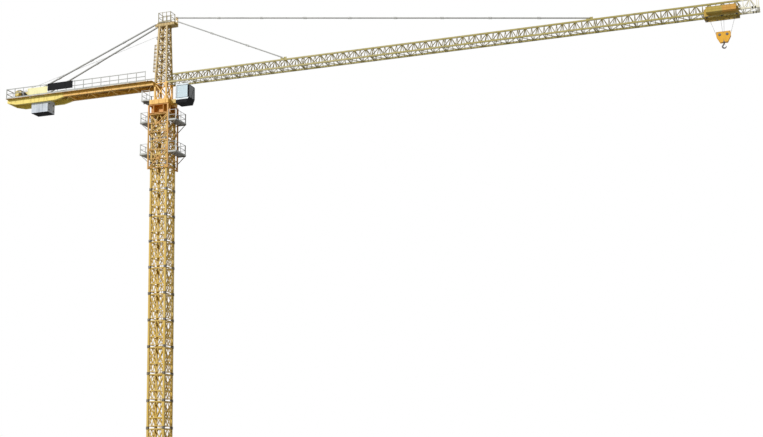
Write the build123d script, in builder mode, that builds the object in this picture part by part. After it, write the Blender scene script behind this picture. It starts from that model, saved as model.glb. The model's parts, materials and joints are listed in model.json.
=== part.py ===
import os
from math import acos, cos, hypot, sin

from build123d import *

os.makedirs("parts", exist_ok=True)

# Half-size model of a hammerhead tower crane, in millimetres.
# The origin lies on the mast axis at ground level, the jib points along +X.

# Fits: pieces that rest on each other, and pieces that move past each other
seat = 0.3
running_gap = 8.0

# Mast: square lattice of equal sections on a cross-shaped base
mast_pitch = 800.0
mast_chord = 90.0
mast_lace = 46.0
section_height = 1250.0
section_count = 15
section_end_inset = 50.0
mast_panel_foot = 460.0
mast_brace_split = 30.0
weld_depth = 12.0

# Cross base with foot plates and anchor holes
base_height = 300.0
base_beam_width = 160.0
base_beam_height = 200.0
base_arm_reach = 900.0
foot_plate = 260.0
foot_plate_thickness = 24.0
foot_reach = 600.0
anchor_offset = 95.0
anchor_hole = 24.0
leg_socket = 130.0

# Climbing cage around the top of the mast, with two railed walkways
cage_height = 2750.0
cage_half = 545.0
cage_chord = 60.0
cage_lace = 34.0
cage_bays = 3
walkway_width = 420.0
walkway_thickness = 22.0
walkway_levels = (730.0, 2300.0)
cage_rail_posts = 3
rail_height = 520.0
rail_post = 22.0
rail_bar = 18.0

# Slewing part: lower support, two ring halves, upper support
lower_support_height = 415.0
ring_outer = 860.0
ring_inner = 640.0
ring_half_height = 25.0
upper_support_height = 225.0
upper_support_width = 1000.0
support_plate = 20.0
support_hole = 440.0
support_post = 70.0
balcony_rear = -950.0
balcony_bearer = 66.0
balcony_rail_posts = 3

# Slewing column that carries both jibs and the tower head
column_height = 900.0
column_pitch = 600.0
column_post = 80.0
column_lace = 40.0
jib_drop = 40.0

# Tower head, tapered, with a railed platform on top
head_height = 2910.0
head_foot_half = 300.0
head_top_rear = -150.0
head_top_front = 245.0
head_top_half_width = 195.0
head_post = 70.0
head_lace = 38.0
head_lace_start = 0.02
head_foot_plate = 16.0
head_top_plate = 24.0
head_bays = 5
cap_height = 150.0
cap_width = 460.0
cap_rear = -300.0
cap_front = 640.0
head_deck_rear = -220.0
head_deck_front = 470.0
head_deck_width = 520.0
head_deck_thickness = 20.0
head_rail_posts = 4
lug_thickness = 30.0
lug_length = 160.0
lug_reach = 53.0
pin_inset = 40.0
head_sheave_diameter = 200.0
head_sheave_part = 0.82

# Jib: triangular lattice, one chord above, two chords below
jib_root = 400.0
jib_sections = 8
jib_section_length = 3450.0
jib_bays = 6
jib_height = 490.0
jib_pitch = 645.0
jib_chord = 70.0
jib_lace = 28.0
jib_node_inset = 40.0
jib_lace_edge = 18.0
jib_lace_split = 30.0
jib_cross_step = 2
inner_tie_section = 1
inner_tie_inset = 1000.0
outer_tie_section = 5
outer_tie_inset = 250.0
tie_lug_length = 300.0
tie_lug_height = 130.0

# Tie bars
tie_bar = 22.0
tie_depth = 46.0
tie_coupling_length = 170.0
tie_coupling_depth = 76.0
tie_bar_length = 2150.0
head_tie_x = 690.0
outer_tie_rise = 390.0
inner_tie_rise = 210.0
rear_tie_x = -340.0
rear_tie_rise = 150.0
rear_tie_pitch = 300.0

# Counter-jib
counter_end = -8500.0
counter_beam_pitch = 800.0
counter_beam_width = 90.0
counter_beam_height = 175.0
counter_rear_height = 290.0
counter_taper = 500.0
counter_beam_drop = 100.0
counter_half_width = 600.0
counter_deck_thickness = 14.0
counter_cross = 70.0
counter_cross_count = 7
counter_rail_posts = 9
counter_end_posts = 3
counter_rail_start = -700.0
rear_tie_foot = -7340.0
board_length = 1400.0
board_height = 370.0
board_thickness = 14.0
board_start = -6100.0

# Counterweight slabs hanging between the counter-jib beams
slab_count = 6
slab_thickness = 148.0
slab_pitch = 154.0
slab_width = 650.0
slab_height = 800.0
slab_head_width = 940.0
slab_head_height = 90.0
slab_front = -6250.0

# Hoist winch
winch_rear = -8330.0
winch_length = 640.0
winch_width = 760.0
winch_base = 60.0
drum_diameter = 330.0
drum_length = 420.0
drum_flange = 450.0
drum_flange_thickness = 22.0
winch_cheek = 36.0
winch_cheek_half = 150.0
motor_diameter = 260.0

# Operator's cab
cab_rear = 850.0
cab_length = 680.0
cab_near = -375.0
cab_width = 650.0
cab_height = 950.0
cab_drop = 175.0
cab_wall = 22.0
cab_pillar = 55.0
cab_nose = 90.0
cab_sill = 250.0
cab_pane = 8.0
cab_beam = 80.0
cab_beam_inset = 160.0

# Trolley under the jib
trolley_inset = 1500.0
trolley_length = 1450.0
trolley_plate = 12.0
trolley_top = 120.0
trolley_bottom = 130.0
trolley_cross = 60.0
wheel_diameter = 110.0
wheel_width = 24.0
wheel_hub = 36.0
wheel_base = 1150.0
sheave_width = 36.0
sheave_hub = 40.0
outer_sheave = 200.0
middle_sheave = 140.0
outer_fall = 540.0
basket_length = 1250.0
basket_depth = 260.0
basket_height = 230.0
basket_drop = 40.0
basket_wall = 10.0

# Hook block and hook
block_drop = 820.0
block_width = 600.0
block_foot_width = 320.0
block_height = 470.0
block_cheek = 22.0
block_sheave = 260.0
block_sheave_offset = 155.0
block_gap = 130.0
block_hub = 60.0
block_shoulder = 72.5
block_crosshead = 220.0
rope = 12.0
hook_shank = 60.0
hook_throat = 95.0
hook_thickness = 56.0
hook_body = 62.0

# Wheels, sheaves and the drum are many-sided discs with six-sided hubs
disc_sides = 32
hub_sides = 6

# Levels that follow from the sizes above
mast_top = base_height + section_count * section_height
ring_level = mast_top + lower_support_height
upper_level = ring_level + 2 * ring_half_height + seat
column_foot = upper_level + upper_support_height
jib_level = column_foot + column_height - 2 * seat - jib_drop
head_foot = column_foot + column_height
head_top = head_foot + head_height
jib_tip = jib_root + jib_sections * jib_section_length
trolley_x = jib_tip - trolley_inset
inner_tie_foot = jib_root + (inner_tie_section + 1) * jib_section_length - inner_tie_inset
outer_tie_foot = jib_root + (outer_tie_section + 1) * jib_section_length - outer_tie_inset
counter_deck = jib_level - counter_beam_drop + counter_beam_height

BASE = (Align.CENTER, Align.CENTER, Align.MIN)
HANG = (Align.CENTER, Align.CENTER, Align.MAX)


def save(block, name):
    """Label a finished piece and write it to its own file."""
    block.part.label = name
    export_step(block.part, f"parts/{name}.step")


def bars(pairs, width, depth, normal):
    """Square bars from point to point; depth is measured along the normal."""
    groups = {}
    for start, end in pairs:
        run = Vector(*end) - Vector(*start)
        across = Vector(*normal)
        across = across - run * (across.dot(run) / run.dot(run))
        plane = Plane(origin=start, x_dir=across, z_dir=run)
        groups.setdefault(round(run.length, 2), []).append(plane)
    for length, planes in groups.items():
        with Locations(*planes):
            Box(depth, width, length, align=BASE)


def brace(start, end):
    """Ends of a bar that runs from face to face and is let into both."""
    sink = (Vector(*end) - Vector(*start)).normalized() * weld_depth
    return (tuple(Vector(*start) - sink), tuple(Vector(*end) + sink))


def upright(x, y, z):
    """The plane of a disc that stands along X, with its axle along Y."""
    return Plane(origin=(x, y, z), x_dir=(1, 0, 0), z_dir=(0, 1, 0))


def box_between(low, high, mode=Mode.ADD):
    """A box given by two opposite corners."""
    centre = tuple((a + b) / 2 for a, b in zip(low, high))
    with Locations(centre):
        Box(*(b - a for a, b in zip(low, high)), mode=mode)


def fence(start, end, level, posts):
    """One flat side of a railing: posts, a hand rail and a knee rail."""
    run = Vector(end[0] - start[0], end[1] - start[1], 0)
    feet = [Vector(start[0], start[1], level) + run * (i / (posts - 1)) for i in range(posts)]
    rise = Vector(0, 0, rail_height)
    across = run.cross(Vector(0, 0, 1)).normalized()
    bars([(tuple(p), tuple(p + rise)) for p in feet], rail_post, rail_post, tuple(across))
    first, last = feet[0], feet[-1]
    for height in (rail_height / 2, rail_height - rail_bar):
        lift = Vector(0, 0, height)
        bars([(tuple(first + lift), tuple(last + lift))], rail_bar, rail_bar, tuple(across))


# Cross base: two crossing beams, foot plates with anchor holes, four leg sockets
with BuildPart() as cross_base:
    with Locations(Rotation(0, 0, 45), Rotation(0, 0, -45)):
        Box(2 * base_arm_reach, base_beam_width, base_beam_height, align=BASE)
    with GridLocations(2 * foot_reach, 2 * foot_reach, 2, 2):
        Box(foot_plate, foot_plate, foot_plate_thickness, align=BASE)
    with GridLocations(mast_pitch, mast_pitch, 2, 2):
        Box(leg_socket, leg_socket, base_height, align=BASE)
    near, far = 2 * (foot_reach - anchor_offset), 2 * (foot_reach + anchor_offset)
    with Locations((0, 0, foot_plate_thickness)):
        with GridLocations(far, near, 2, 2):
            Hole(anchor_hole / 2, 2 * foot_plate_thickness)
        with GridLocations(near, far, 2, 2):
            Hole(anchor_hole / 2, 2 * foot_plate_thickness)
save(cross_base, "cross_base")


def mast_side(level, side):
    """Bars of one mast side along X, welded to its two chords: two rails and a V."""
    y = side * mast_pitch / 2
    face = (mast_pitch - mast_chord) / 2
    sill = level + mast_panel_foot
    high = level + section_height - section_end_inset
    lacing = [brace((-face, y, z), (face, y, z)) for z in (sill, high)]
    for lean in (-1, 1):
        top = (lean * face, y, high - 2 * mast_lace)
        lacing.append(brace(top, (lean * mast_brace_split, y, sill + mast_lace / 2)))
    return lacing


def mast_infill(level, side):
    """Bars of one mast side along Y, seated between the chords: two rails and a V."""
    x = side * mast_pitch / 2
    reach = (mast_pitch - mast_chord) / 2 - seat
    sill = level + mast_panel_foot
    high = level + section_height - section_end_inset
    lacing = [((x, -reach, z), (x, reach, z)) for z in (sill, high)]
    for lean in (-1, 1):
        top = (x, lean * (reach - mast_lace), high - mast_lace / 2)
        lacing.append(brace(top, (x, lean * mast_brace_split, sill + mast_lace / 2)))
    return lacing


# Mast sections, odd and even numbers, each of two chord frames and two infill sides
for first, name in ((0, "mast_sections_odd"), (1, "mast_sections_even")):
    levels = [base_height + section_height * i for i in range(first, section_count, 2)]
    half = mast_pitch / 2
    with BuildPart() as mast_sections:
        with Locations(*[(x, y, z) for z in levels for x in (-half, half) for y in (-half, half)]):
            Box(mast_chord, mast_chord, section_height, align=BASE)
        bars([p for z in levels for s in (-1, 1) for p in mast_side(z, s)],
             mast_lace, mast_lace, (0, 1, 0))
        bars([p for z in levels for s in (-1, 1) for p in mast_infill(z, s)],
             mast_lace, mast_lace, (1, 0, 0))
    save(mast_sections, name)

# Climbing cage: two chord frames along X and two infill sides along Y
cage_foot = mast_top - cage_height
cage_line = cage_half - cage_chord / 2
cage_bay = (cage_height - 2 * section_end_inset) / cage_bays
cage_nodes = [cage_foot + section_end_inset + i * cage_bay for i in range(cage_bays + 1)]
with BuildPart() as climbing_cage:
    with Locations((0, 0, cage_foot)):
        with GridLocations(2 * cage_line, 2 * cage_line, 2, 2):
            Box(cage_chord, cage_chord, cage_height, align=BASE)
    for side in (-1, 1):
        frame = []
        infill = []
        y = side * cage_line
        reach = cage_line - cage_chord / 2 - seat
        node = reach - cage_lace
        for i, z in enumerate(cage_nodes):
            frame.append(((-cage_line, y, z), (cage_line, y, z)))
            infill.append(((y, -reach, z), (y, reach, z)))
            if i < cage_bays:
                turn = 1 if i % 2 == 0 else -1
                above = cage_nodes[i + 1]
                frame.append(((-turn * cage_line, y, z), (turn * cage_line, y, above)))
                infill.append(((y, -turn * node, z), (y, turn * node, above)))
        bars(frame, cage_lace, cage_lace, (0, 1, 0))
        bars(infill, cage_lace, cage_lace, (1, 0, 0))
save(climbing_cage, "climbing_cage")

# Walkway planks on two levels, on the sides of the cage that face along the jib
walk_inner = cage_half + seat
walk_outer = walk_inner + walkway_width
with BuildPart() as cage_walkways:
    for rise in walkway_levels:
        z = cage_foot + rise
        for side in (-1, 1):
            inner, outer = sorted((side * walk_inner, side * walk_outer))
            box_between((inner, -cage_half, z), (outer, cage_half, z + walkway_thickness))
save(cage_walkways, "cage_walkways")

with BuildPart() as cage_railings:
    rail_line = walk_outer - rail_post
    rail_end = cage_half - rail_post
    for rise in walkway_levels:
        z = cage_foot + rise + walkway_thickness + seat
        for side in (-1, 1):
            fence((side * rail_line, -rail_end), (side * rail_line, rail_end), z, cage_rail_posts)
            near, far = walk_inner + rail_post, rail_line - rail_post - seat
            for end in (-1, 1):
                fence((side * near, end * rail_end), (side * far, end * rail_end), z, 2)
save(cage_railings, "cage_railings")


def support(foot, height, width):
    """Open box: two plates with a central hole, corner posts between them."""
    with Locations((0, 0, foot), (0, 0, foot + height - support_plate)):
        Box(width, width, support_plate, align=BASE)
    with Locations((0, 0, foot)):
        with GridLocations(width - support_post, width - support_post, 2, 2):
            Box(support_post, support_post, height, align=BASE)
        for turn in (0, 90):
            with Locations(Rotation(0, 0, turn)):
                with GridLocations(support_hole + support_post, 1, 2, 1):
                    Box(support_post / 2, width - support_post, height, align=BASE)
        Box(support_hole, support_hole, 3 * height, mode=Mode.SUBTRACT)


with BuildPart() as lower_slewing_support:
    support(mast_top, lower_support_height, 2 * cage_half)
save(lower_slewing_support, "lower_slewing_support")

ring_parting = ring_level + ring_half_height + seat
for foot, name in ((ring_level, "slewing_ring_lower"), (ring_parting, "slewing_ring_upper")):
    with BuildPart() as slewing_ring:
        with Locations((0, 0, foot)):
            Cylinder(ring_outer / 2, ring_half_height, align=BASE)
            Cylinder(ring_inner / 2, 3 * ring_half_height, mode=Mode.SUBTRACT)
    save(slewing_ring, name)

# Upper support: a box frame with closed sides around the central opening
with BuildPart() as upper_slewing_support:
    with Locations((0, 0, upper_level)):
        Box(upper_support_width, upper_support_width, upper_support_height, align=BASE)
    with Locations((0, 0, upper_level + support_plate)):
        inside = upper_support_width - 2 * support_plate
        Box(inside, inside, upper_support_height - 2 * support_plate, align=BASE, mode=Mode.SUBTRACT)
        Box(support_hole, support_hole, 3 * upper_support_height, mode=Mode.SUBTRACT)
save(upper_slewing_support, "upper_slewing_support")

# Rear balcony of the upper support, level with its top plate
balcony_front = -upper_support_width / 2 - seat
balcony_half = upper_support_width / 2
with BuildPart() as slewing_balcony:
    box_between((balcony_rear, -balcony_half, column_foot - walkway_thickness),
                (balcony_front, balcony_half, column_foot))
    for y in (-balcony_half / 2, balcony_half / 2):
        box_between((balcony_rear, y - rail_post, column_foot - walkway_thickness - balcony_bearer),
                    (balcony_front, y + rail_post, column_foot - walkway_thickness))
save(slewing_balcony, "slewing_balcony")

with BuildPart() as balcony_railing:
    z = column_foot + seat
    edge = balcony_half - rail_post
    rear = balcony_rear + rail_post
    fence((rear, -edge), (rear, edge), z, balcony_rail_posts)
    for side in (-1, 1):
        fence((rear + rail_post + 2 * seat, side * edge), (balcony_front, side * edge), z, 2)
save(balcony_railing, "balcony_railing")

# Slewing column with lugs for the jib feet
column_line = column_pitch / 2
column_face = column_line + column_post / 2
column_top = column_foot + column_height
with BuildPart() as slewing_column:
    with Locations((0, 0, column_foot + seat)):
        with GridLocations(column_pitch, column_pitch, 2, 2):
            Box(column_post, column_post, column_height - 2 * seat, align=BASE)
    low = column_foot + column_lace
    high = column_top - column_lace
    for side in (-1, 1):
        y = side * column_line
        reach = column_line - column_post / 2 - seat
        node = reach - column_lace
        frame = [((-column_line, y, z), (column_line, y, z)) for z in (low, high)]
        frame += [((-turn * column_line, y, low), (turn * column_line, y, high)) for turn in (-1, 1)]
        bars(frame, column_lace, column_lace, (0, 1, 0))
        infill = [((y, -reach, z), (y, reach, z)) for z in (low, high)]
        infill += [((y, -turn * node, low), (y, turn * node, high)) for turn in (-1, 1)]
        bars(infill, column_lace, column_lace, (1, 0, 0))
        lug_inner = side * (column_line - column_post / 2)
        lug_low, lug_high = sorted((lug_inner, side * (jib_pitch + jib_chord) / 2))
        box_between((column_line, lug_low, jib_level - jib_chord / 2),
                    (jib_root - seat, lug_high, jib_level + jib_chord / 2))
save(slewing_column, "slewing_column")


def head_corner(part, x_side, y_side):
    """A point on one post of the tower head, from its foot (0) to its top (1)."""
    top_x = head_top_front if x_side > 0 else head_top_rear
    x = x_side * head_foot_half * (1 - part) + top_x * part
    y = y_side * (head_foot_half * (1 - part) + head_top_half_width * part)
    foot = head_foot + seat + head_foot_plate / 2
    return (x, y, foot + (head_top - head_top_plate / 2 - foot) * part)


def lug(pin, run, low, high):
    """An upright plate through a tie pin, lying in the plane of that tie."""
    level = Vector(run.X, run.Y, 0).normalized() * (lug_length / 2)
    across = Vector(0, 0, 1).cross(run).normalized()
    middle = Vector(pin[0], pin[1], (low + high) / 2)
    bars([(tuple(middle - level), tuple(middle + level))], high - low, lug_thickness, tuple(across))


# Levels of the counter-jib deck and the pins of its ties
deck_low = counter_deck + seat
deck_high = deck_low + counter_deck_thickness
rear_pins = []
for side in (-1, 1):
    upper_pin = (rear_tie_x, side * rear_tie_pitch / 2, head_top + rear_tie_rise)
    lower_pin = (rear_tie_foot, side * counter_beam_pitch / 2, deck_high + tie_lug_height - pin_inset)
    rear_pins.append((upper_pin, lower_pin))

# Tower head: four tapering posts, laced sides, cap beam and lugs for the tie bars
with BuildPart() as tower_head:
    corners = [(-1, -1), (1, -1), (1, 1), (-1, 1)]
    with Locations((0, 0, head_foot + seat)):
        with GridLocations(column_pitch, column_pitch, 2, 2):
            Box(column_post, column_post, head_foot_plate, align=BASE)
    for corner in corners:
        bars([(head_corner(0.0, *corner), head_corner(1.0, *corner))], head_post, head_post, (1, 0, 0))
    for i in range(4):
        a, b = corners[i], corners[(i + 1) % 4]
        normal = (a[0] + b[0], a[1] + b[1], 0)
        lacing = []
        for bay in range(head_bays):
            low = head_lace_start + (1 - head_lace_start) * bay / head_bays
            high = head_lace_start + (1 - head_lace_start) * (bay + 1) / head_bays
            start, end = (a, b) if bay % 2 == 0 else (b, a)
            lacing.append((head_corner(low, *a), head_corner(low, *b)))
            lacing.append((head_corner(low, *start), head_corner(high, *end)))
        bars(lacing, head_lace, head_lace, normal)
    box_between((head_top_rear - head_post, -cap_width / 2, head_top - head_top_plate),
                (head_top_front + head_post, cap_width / 2, head_top))
    sheave_rail = [head_corner(head_sheave_part, -1, side) for side in (-1, 1)]
    bars([tuple(sheave_rail)], head_post, head_lace, (1, 0, 0))
    sheave_x = sheave_rail[0][0] - head_sheave_diameter / 2 - head_post / 2
    sheave_z = sheave_rail[0][2]
    for side in (-1, 1):
        inner, outer = sorted((side * (sheave_width / 2 + seat), side * (sheave_width / 2 + trolley_plate)))
        box_between((sheave_x - head_post / 2, inner, sheave_z - head_post / 2),
                    (sheave_rail[0][0], outer, sheave_z + head_post / 2))
save(tower_head, "tower_head")

# Cap beam on the head, with lugs for the tie bars
cap_foot = head_top + seat
cap_top = head_top + cap_height
with BuildPart() as head_cap:
    box_between((cap_rear, -cap_width / 2, cap_foot), (cap_front, cap_width / 2, cap_top))
    box_between((cap_front - lug_thickness, -lug_thickness / 2, cap_foot),
                (head_tie_x + lug_reach, lug_thickness / 2, head_top + outer_tie_rise + tie_depth))
    for upper_pin, lower_pin in rear_pins:
        lug(upper_pin, Vector(*lower_pin) - Vector(*upper_pin), cap_foot, cap_top)
save(head_cap, "head_cap")

with BuildPart() as head_sheave:
    with BuildSketch(upright(sheave_x, 0, sheave_z)):
        RegularPolygon(head_sheave_diameter / 2, disc_sides)
    extrude(amount=sheave_width / 2, both=True)
save(head_sheave, "head_sheave")

head_deck_level = head_top + cap_height + seat
with BuildPart() as head_platform:
    box_between((head_deck_rear, -head_deck_width / 2, head_deck_level),
                (head_deck_front, head_deck_width / 2, head_deck_level + head_deck_thickness))
save(head_platform, "head_platform")

with BuildPart() as head_railing:
    z = head_deck_level + head_deck_thickness + seat
    y = head_deck_width / 2 - rail_post
    rear, front = head_deck_rear + rail_post, head_deck_front - rail_post
    for side in (-1, 1):
        fence((rear, side * y), (front, side * y), z, head_rail_posts)
    for x in (rear, front):
        fence((x, -y + rail_post + seat), (x, y - rail_post - seat), z, 2)
save(head_railing, "head_railing")

# Jib sections: chords, side lacing and bottom cross bars; two carry the tie lugs
jib_half = jib_pitch / 2
chord_inner = jib_half - jib_chord / 2
lace_foot = chord_inner + jib_lace_edge
lace_top = jib_chord / 4
lace_low = jib_level + jib_chord / 2
lace_high = jib_level + jib_height - jib_chord / 2
jib_step = (jib_section_length - 2 * jib_node_inset) / jib_bays
rope_level = jib_level - jib_chord / 2 - 2 * rope
rope_start = jib_root + jib_node_inset + jib_lace / 2


def jib_lacing(nodes, side):
    """Leaning bars of one jib side, from the lower chord up to the top chord and down again."""
    lacing = []
    for i in range(jib_bays):
        peak = (nodes[i] + nodes[i + 1]) / 2
        for x, lean in ((nodes[i], 1), (nodes[i + 1], -1)):
            foot = (x + lean * jib_lace_split, side * lace_foot, lace_low)
            top = (peak - lean * jib_lace_split, side * lace_top, lace_high)
            lacing.append(brace(foot, top))
    return lacing


def jib_section(index):
    """One jib section; the two under the tie bars carry lugs, the first a rope bracket."""
    start = jib_root + index * jib_section_length
    nodes = [start + jib_node_inset + i * jib_step for i in range(jib_bays + 1)]
    top = jib_level + jib_height
    with Locations((start, -jib_half, jib_level), (start, jib_half, jib_level), (start, 0, top)):
        Box(jib_section_length, jib_chord, jib_chord, align=(Align.MIN, Align.CENTER, Align.CENTER))
    for side in (-1, 1):
        across = (0, side * (lace_high - lace_low), lace_foot - lace_top)
        bars(jib_lacing(nodes, side), jib_lace, jib_lace, across)
    spots = nodes[::jib_cross_step]
    cross_bars = [brace((x, -chord_inner, jib_level), (x, chord_inner, jib_level)) for x in spots]
    bars(cross_bars, jib_lace, jib_lace, (0, 0, 1))
    for section, foot in ((inner_tie_section, inner_tie_foot), (outer_tie_section, outer_tie_foot)):
        if index == section:
            box_between((foot - tie_lug_length / 2, -lug_thickness / 2, top),
                        (foot + tie_lug_length / 2, lug_thickness / 2, top + tie_lug_height))
    if index == 0:
        box_between((rope_start - jib_lace, -rope, rope_level - rope / 2), (rope_start, rope, jib_level))


for first, name in ((0, "jib_sections_odd"), (1, "jib_sections_even")):
    with BuildPart() as jib_half_set:
        for index in range(first, jib_sections, 2):
            jib_section(index)
    save(jib_half_set, name)

# End frame of the jib
with BuildPart() as jib_end_frame:
    box_between((jib_tip + seat, -jib_half - jib_chord / 2, jib_level - jib_chord / 2),
                (jib_tip + jib_chord, jib_half + jib_chord / 2, jib_level + jib_chord / 2))
    x = jib_tip + jib_chord / 2 + seat
    top = jib_level + jib_height
    bars([((x, side * lace_foot, jib_level), (x, side * jib_lace / 2, top)) for side in (-1, 1)],
         jib_lace, jib_lace, (1, 0, 0))
    box_between((jib_tip + seat, -jib_lace, rope_level - jib_lace),
                (jib_tip + jib_chord, jib_lace, jib_level))
save(jib_end_frame, "jib_end_frame")


def tie(start, end, gap):
    """A pair of flat bars from pin to pin, joined by couplings along the way."""
    run = Vector(*end) - Vector(*start)
    across = Vector(0, 0, 1).cross(run).normalized()
    offset = across * (gap / 2 + tie_bar / 2)
    for side in (-1, 1):
        bars([(tuple(Vector(*start) + offset * side), tuple(Vector(*end) + offset * side))],
             tie_depth, tie_bar, tuple(across))
    count = max(2, round(run.length / tie_bar_length))
    for i in range(1, count):
        centre = Vector(*start) + run * (i / count)
        along = run.normalized() * (tie_coupling_length / 2)
        bars([(tuple(centre - along), tuple(centre + along))],
             tie_coupling_depth, gap + 2 * tie_bar + 2 * seat, tuple(across))


lug_gap = lug_thickness + 2 * seat
pin_rise = tie_lug_height - pin_inset + jib_height
with BuildPart() as outer_jib_tie:
    tie((head_tie_x, 0, head_top + outer_tie_rise), (outer_tie_foot, 0, jib_level + pin_rise), lug_gap)
save(outer_jib_tie, "outer_jib_tie")

with BuildPart() as inner_jib_tie:
    tie((head_tie_x, 0, head_top + inner_tie_rise), (inner_tie_foot, 0, jib_level + pin_rise), lug_gap)
save(inner_jib_tie, "inner_jib_tie")

# Counter-jib: two main beams, cross beams between them, deck, lugs for its ties
beam_low = jib_level - counter_beam_drop
beam_line = counter_beam_pitch / 2
beam_inner = beam_line - counter_beam_width / 2
counter_front = -column_face - seat
with BuildPart() as counter_jib_beams:
    rear_low = counter_deck - counter_rear_height
    with BuildSketch(*[Plane.XZ.offset(-side * beam_line) for side in (-1, 1)]):
        with BuildLine():
            Polyline((counter_end, counter_deck), (counter_front, counter_deck), (counter_front, beam_low),
                     (slab_front + 2 * counter_taper, beam_low), (slab_front + counter_taper, rear_low),
                     (counter_end + counter_taper, rear_low), (counter_end, beam_low), close=True)
        make_face()
    extrude(amount=counter_beam_width / 2, both=True)
save(counter_jib_beams, "counter_jib_beams")

slab_rear = slab_front - slab_count * slab_pitch
with BuildPart() as counter_jib_cross_beams:
    rest = [counter_front - counter_cross, counter_end]
    for i in range(1, counter_cross_count - 2):
        rest.append(counter_front + (slab_front - counter_front) * i / (counter_cross_count - 2))
    rest += [slab_front + seat, slab_rear - 2 * counter_cross]
    for x in rest:
        box_between((x, -beam_inner + seat, beam_low),
                    (x + counter_cross, beam_inner - seat, counter_deck - seat))
save(counter_jib_cross_beams, "counter_jib_cross_beams")

# Deck plates: front, two strips beside the slabs, rear
slab_gap_front = slab_front + counter_cross
slab_gap_rear = slab_rear - counter_cross
strip_inner = slab_head_width / 2 + running_gap
with BuildPart() as counter_jib_deck:
    box_between((slab_gap_front, -counter_half_width, deck_low),
                (counter_front, counter_half_width, deck_high))
    box_between((counter_end, -counter_half_width, deck_low),
                (slab_gap_rear, counter_half_width, deck_high))
    for side in (-1, 1):
        inner, outer = sorted((side * strip_inner, side * counter_half_width))
        box_between((slab_gap_rear + seat, inner, deck_low), (slab_gap_front - seat, outer, deck_high))
    for upper_pin, lower_pin in rear_pins:
        lug(lower_pin, Vector(*lower_pin) - Vector(*upper_pin), deck_low + seat, deck_high + tie_lug_height)
save(counter_jib_deck, "counter_jib_deck")

with BuildPart() as counter_jib_railings:
    z = deck_high + seat
    y = counter_half_width - rail_post
    rear = counter_end + rail_post
    short = y - rail_post - seat
    for side in (-1, 1):
        fence((rear, side * y), (counter_rail_start, side * y), z, counter_rail_posts)
    fence((rear, -short), (rear, short), z, counter_end_posts)
save(counter_jib_railings, "counter_jib_railings")

with BuildPart() as bare_board:
    y = -counter_half_width + rail_post / 2 - seat
    box_between((board_start, y - board_thickness, deck_high + rail_height - board_height),
                (board_start + board_length, y, deck_high + rail_height))
save(bare_board, "bare_board")

# Counterweights: concrete slabs with heads that rest on the beams
with BuildPart() as counterweights:
    for i in range(slab_count):
        x = slab_front - i * slab_pitch
        with BuildSketch(Plane.YZ.offset(x)):
            with Locations((0, counter_deck + seat)):
                Rectangle(slab_head_width, slab_head_height, align=(Align.CENTER, Align.MIN))
                Rectangle(slab_width, slab_height, align=(Align.CENTER, Align.MAX))
        extrude(amount=-slab_thickness)
save(counterweights, "counterweights")

with BuildPart() as counter_jib_ties:
    for upper_pin, lower_pin in rear_pins:
        tie(upper_pin, lower_pin, lug_gap)
save(counter_jib_ties, "counter_jib_ties")

# Hoist winch: skid with cheeks, gearbox and motor, and the rope drum between the cheeks
winch_x = winch_rear + winch_length / 2
winch_foot = deck_high + seat
drum_axis = winch_foot + winch_base + drum_flange / 2 + running_gap
cheek_line = drum_length / 2 + seat
cheek_outer = cheek_line + winch_cheek
with BuildPart() as hoist_winch:
    box_between((winch_rear, -winch_width / 2, winch_foot),
                (winch_rear + winch_length, winch_width / 2, winch_foot + winch_base))
    for side in (-1, 1):
        inner, outer = sorted((side * cheek_line, side * cheek_outer))
        box_between((winch_x - winch_cheek_half, inner, winch_foot),
                    (winch_x + winch_cheek_half, outer, drum_axis + winch_cheek_half))
    box_between((winch_x - drum_flange / 2, cheek_line, winch_foot),
                (winch_x + drum_flange / 2, winch_width / 2, drum_axis + drum_flange / 2))
    with BuildSketch(upright(winch_x, -cheek_line, drum_axis)):
        RegularPolygon(motor_diameter / 2, disc_sides)
    extrude(amount=cheek_line - winch_width / 2)
save(hoist_winch, "hoist_winch")

with BuildPart() as hoist_drum:
    with BuildSketch(upright(winch_x, 0, drum_axis)):
        RegularPolygon(drum_diameter / 2, disc_sides)
    extrude(amount=drum_length / 2, both=True)
    flange_line = (drum_length - drum_flange_thickness) / 2
    with BuildSketch(*[upright(winch_x, side * flange_line, drum_axis) for side in (-1, 1)]):
        RegularPolygon(drum_flange / 2, disc_sides)
    extrude(amount=drum_flange_thickness / 2, both=True)
save(hoist_drum, "hoist_drum")

# Operator's cab: floor tub with pillars and roof, window panes, carrying beams
cab_floor = jib_level - cab_drop - cab_height
cab_front = cab_rear + cab_length
cab_far = cab_near + cab_width
cab_roof = cab_floor + cab_height
cab_middle = (cab_near + cab_far) / 2
cab_outline = [(cab_rear, cab_floor), (cab_front - cab_nose, cab_floor), (cab_front, cab_floor + cab_sill),
               (cab_front, cab_roof - cab_nose), (cab_front - cab_nose, cab_roof), (cab_rear, cab_roof)]
with BuildPart() as cab_body:
    with BuildSketch(Plane.XZ.offset(-cab_middle)):
        with BuildLine():
            Polyline(*cab_outline, close=True)
        make_face()
    extrude(amount=cab_width / 2, both=True)
    with BuildSketch(Plane.XZ.offset(-cab_middle)):
        with BuildLine():
            Polyline(*cab_outline, close=True)
        make_face()
        offset(amount=-cab_wall, kind=Kind.INTERSECTION, mode=Mode.REPLACE)
    extrude(amount=cab_width / 2 - cab_wall, both=True, mode=Mode.SUBTRACT)
    window_low = cab_floor + cab_sill
    window_high = cab_roof - cab_nose - seat
    with Locations((cab_rear + cab_length / 2, cab_middle, (window_low + window_high) / 2)):
        Box(cab_length - 2 * cab_pillar, 2 * cab_width, window_high - window_low, mode=Mode.SUBTRACT)
    with Locations((cab_front, cab_middle, (window_low + window_high) / 2)):
        Box(4 * cab_wall, cab_width - 2 * cab_pillar, window_high - window_low, mode=Mode.SUBTRACT)
save(cab_body, "cab_body")

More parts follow.
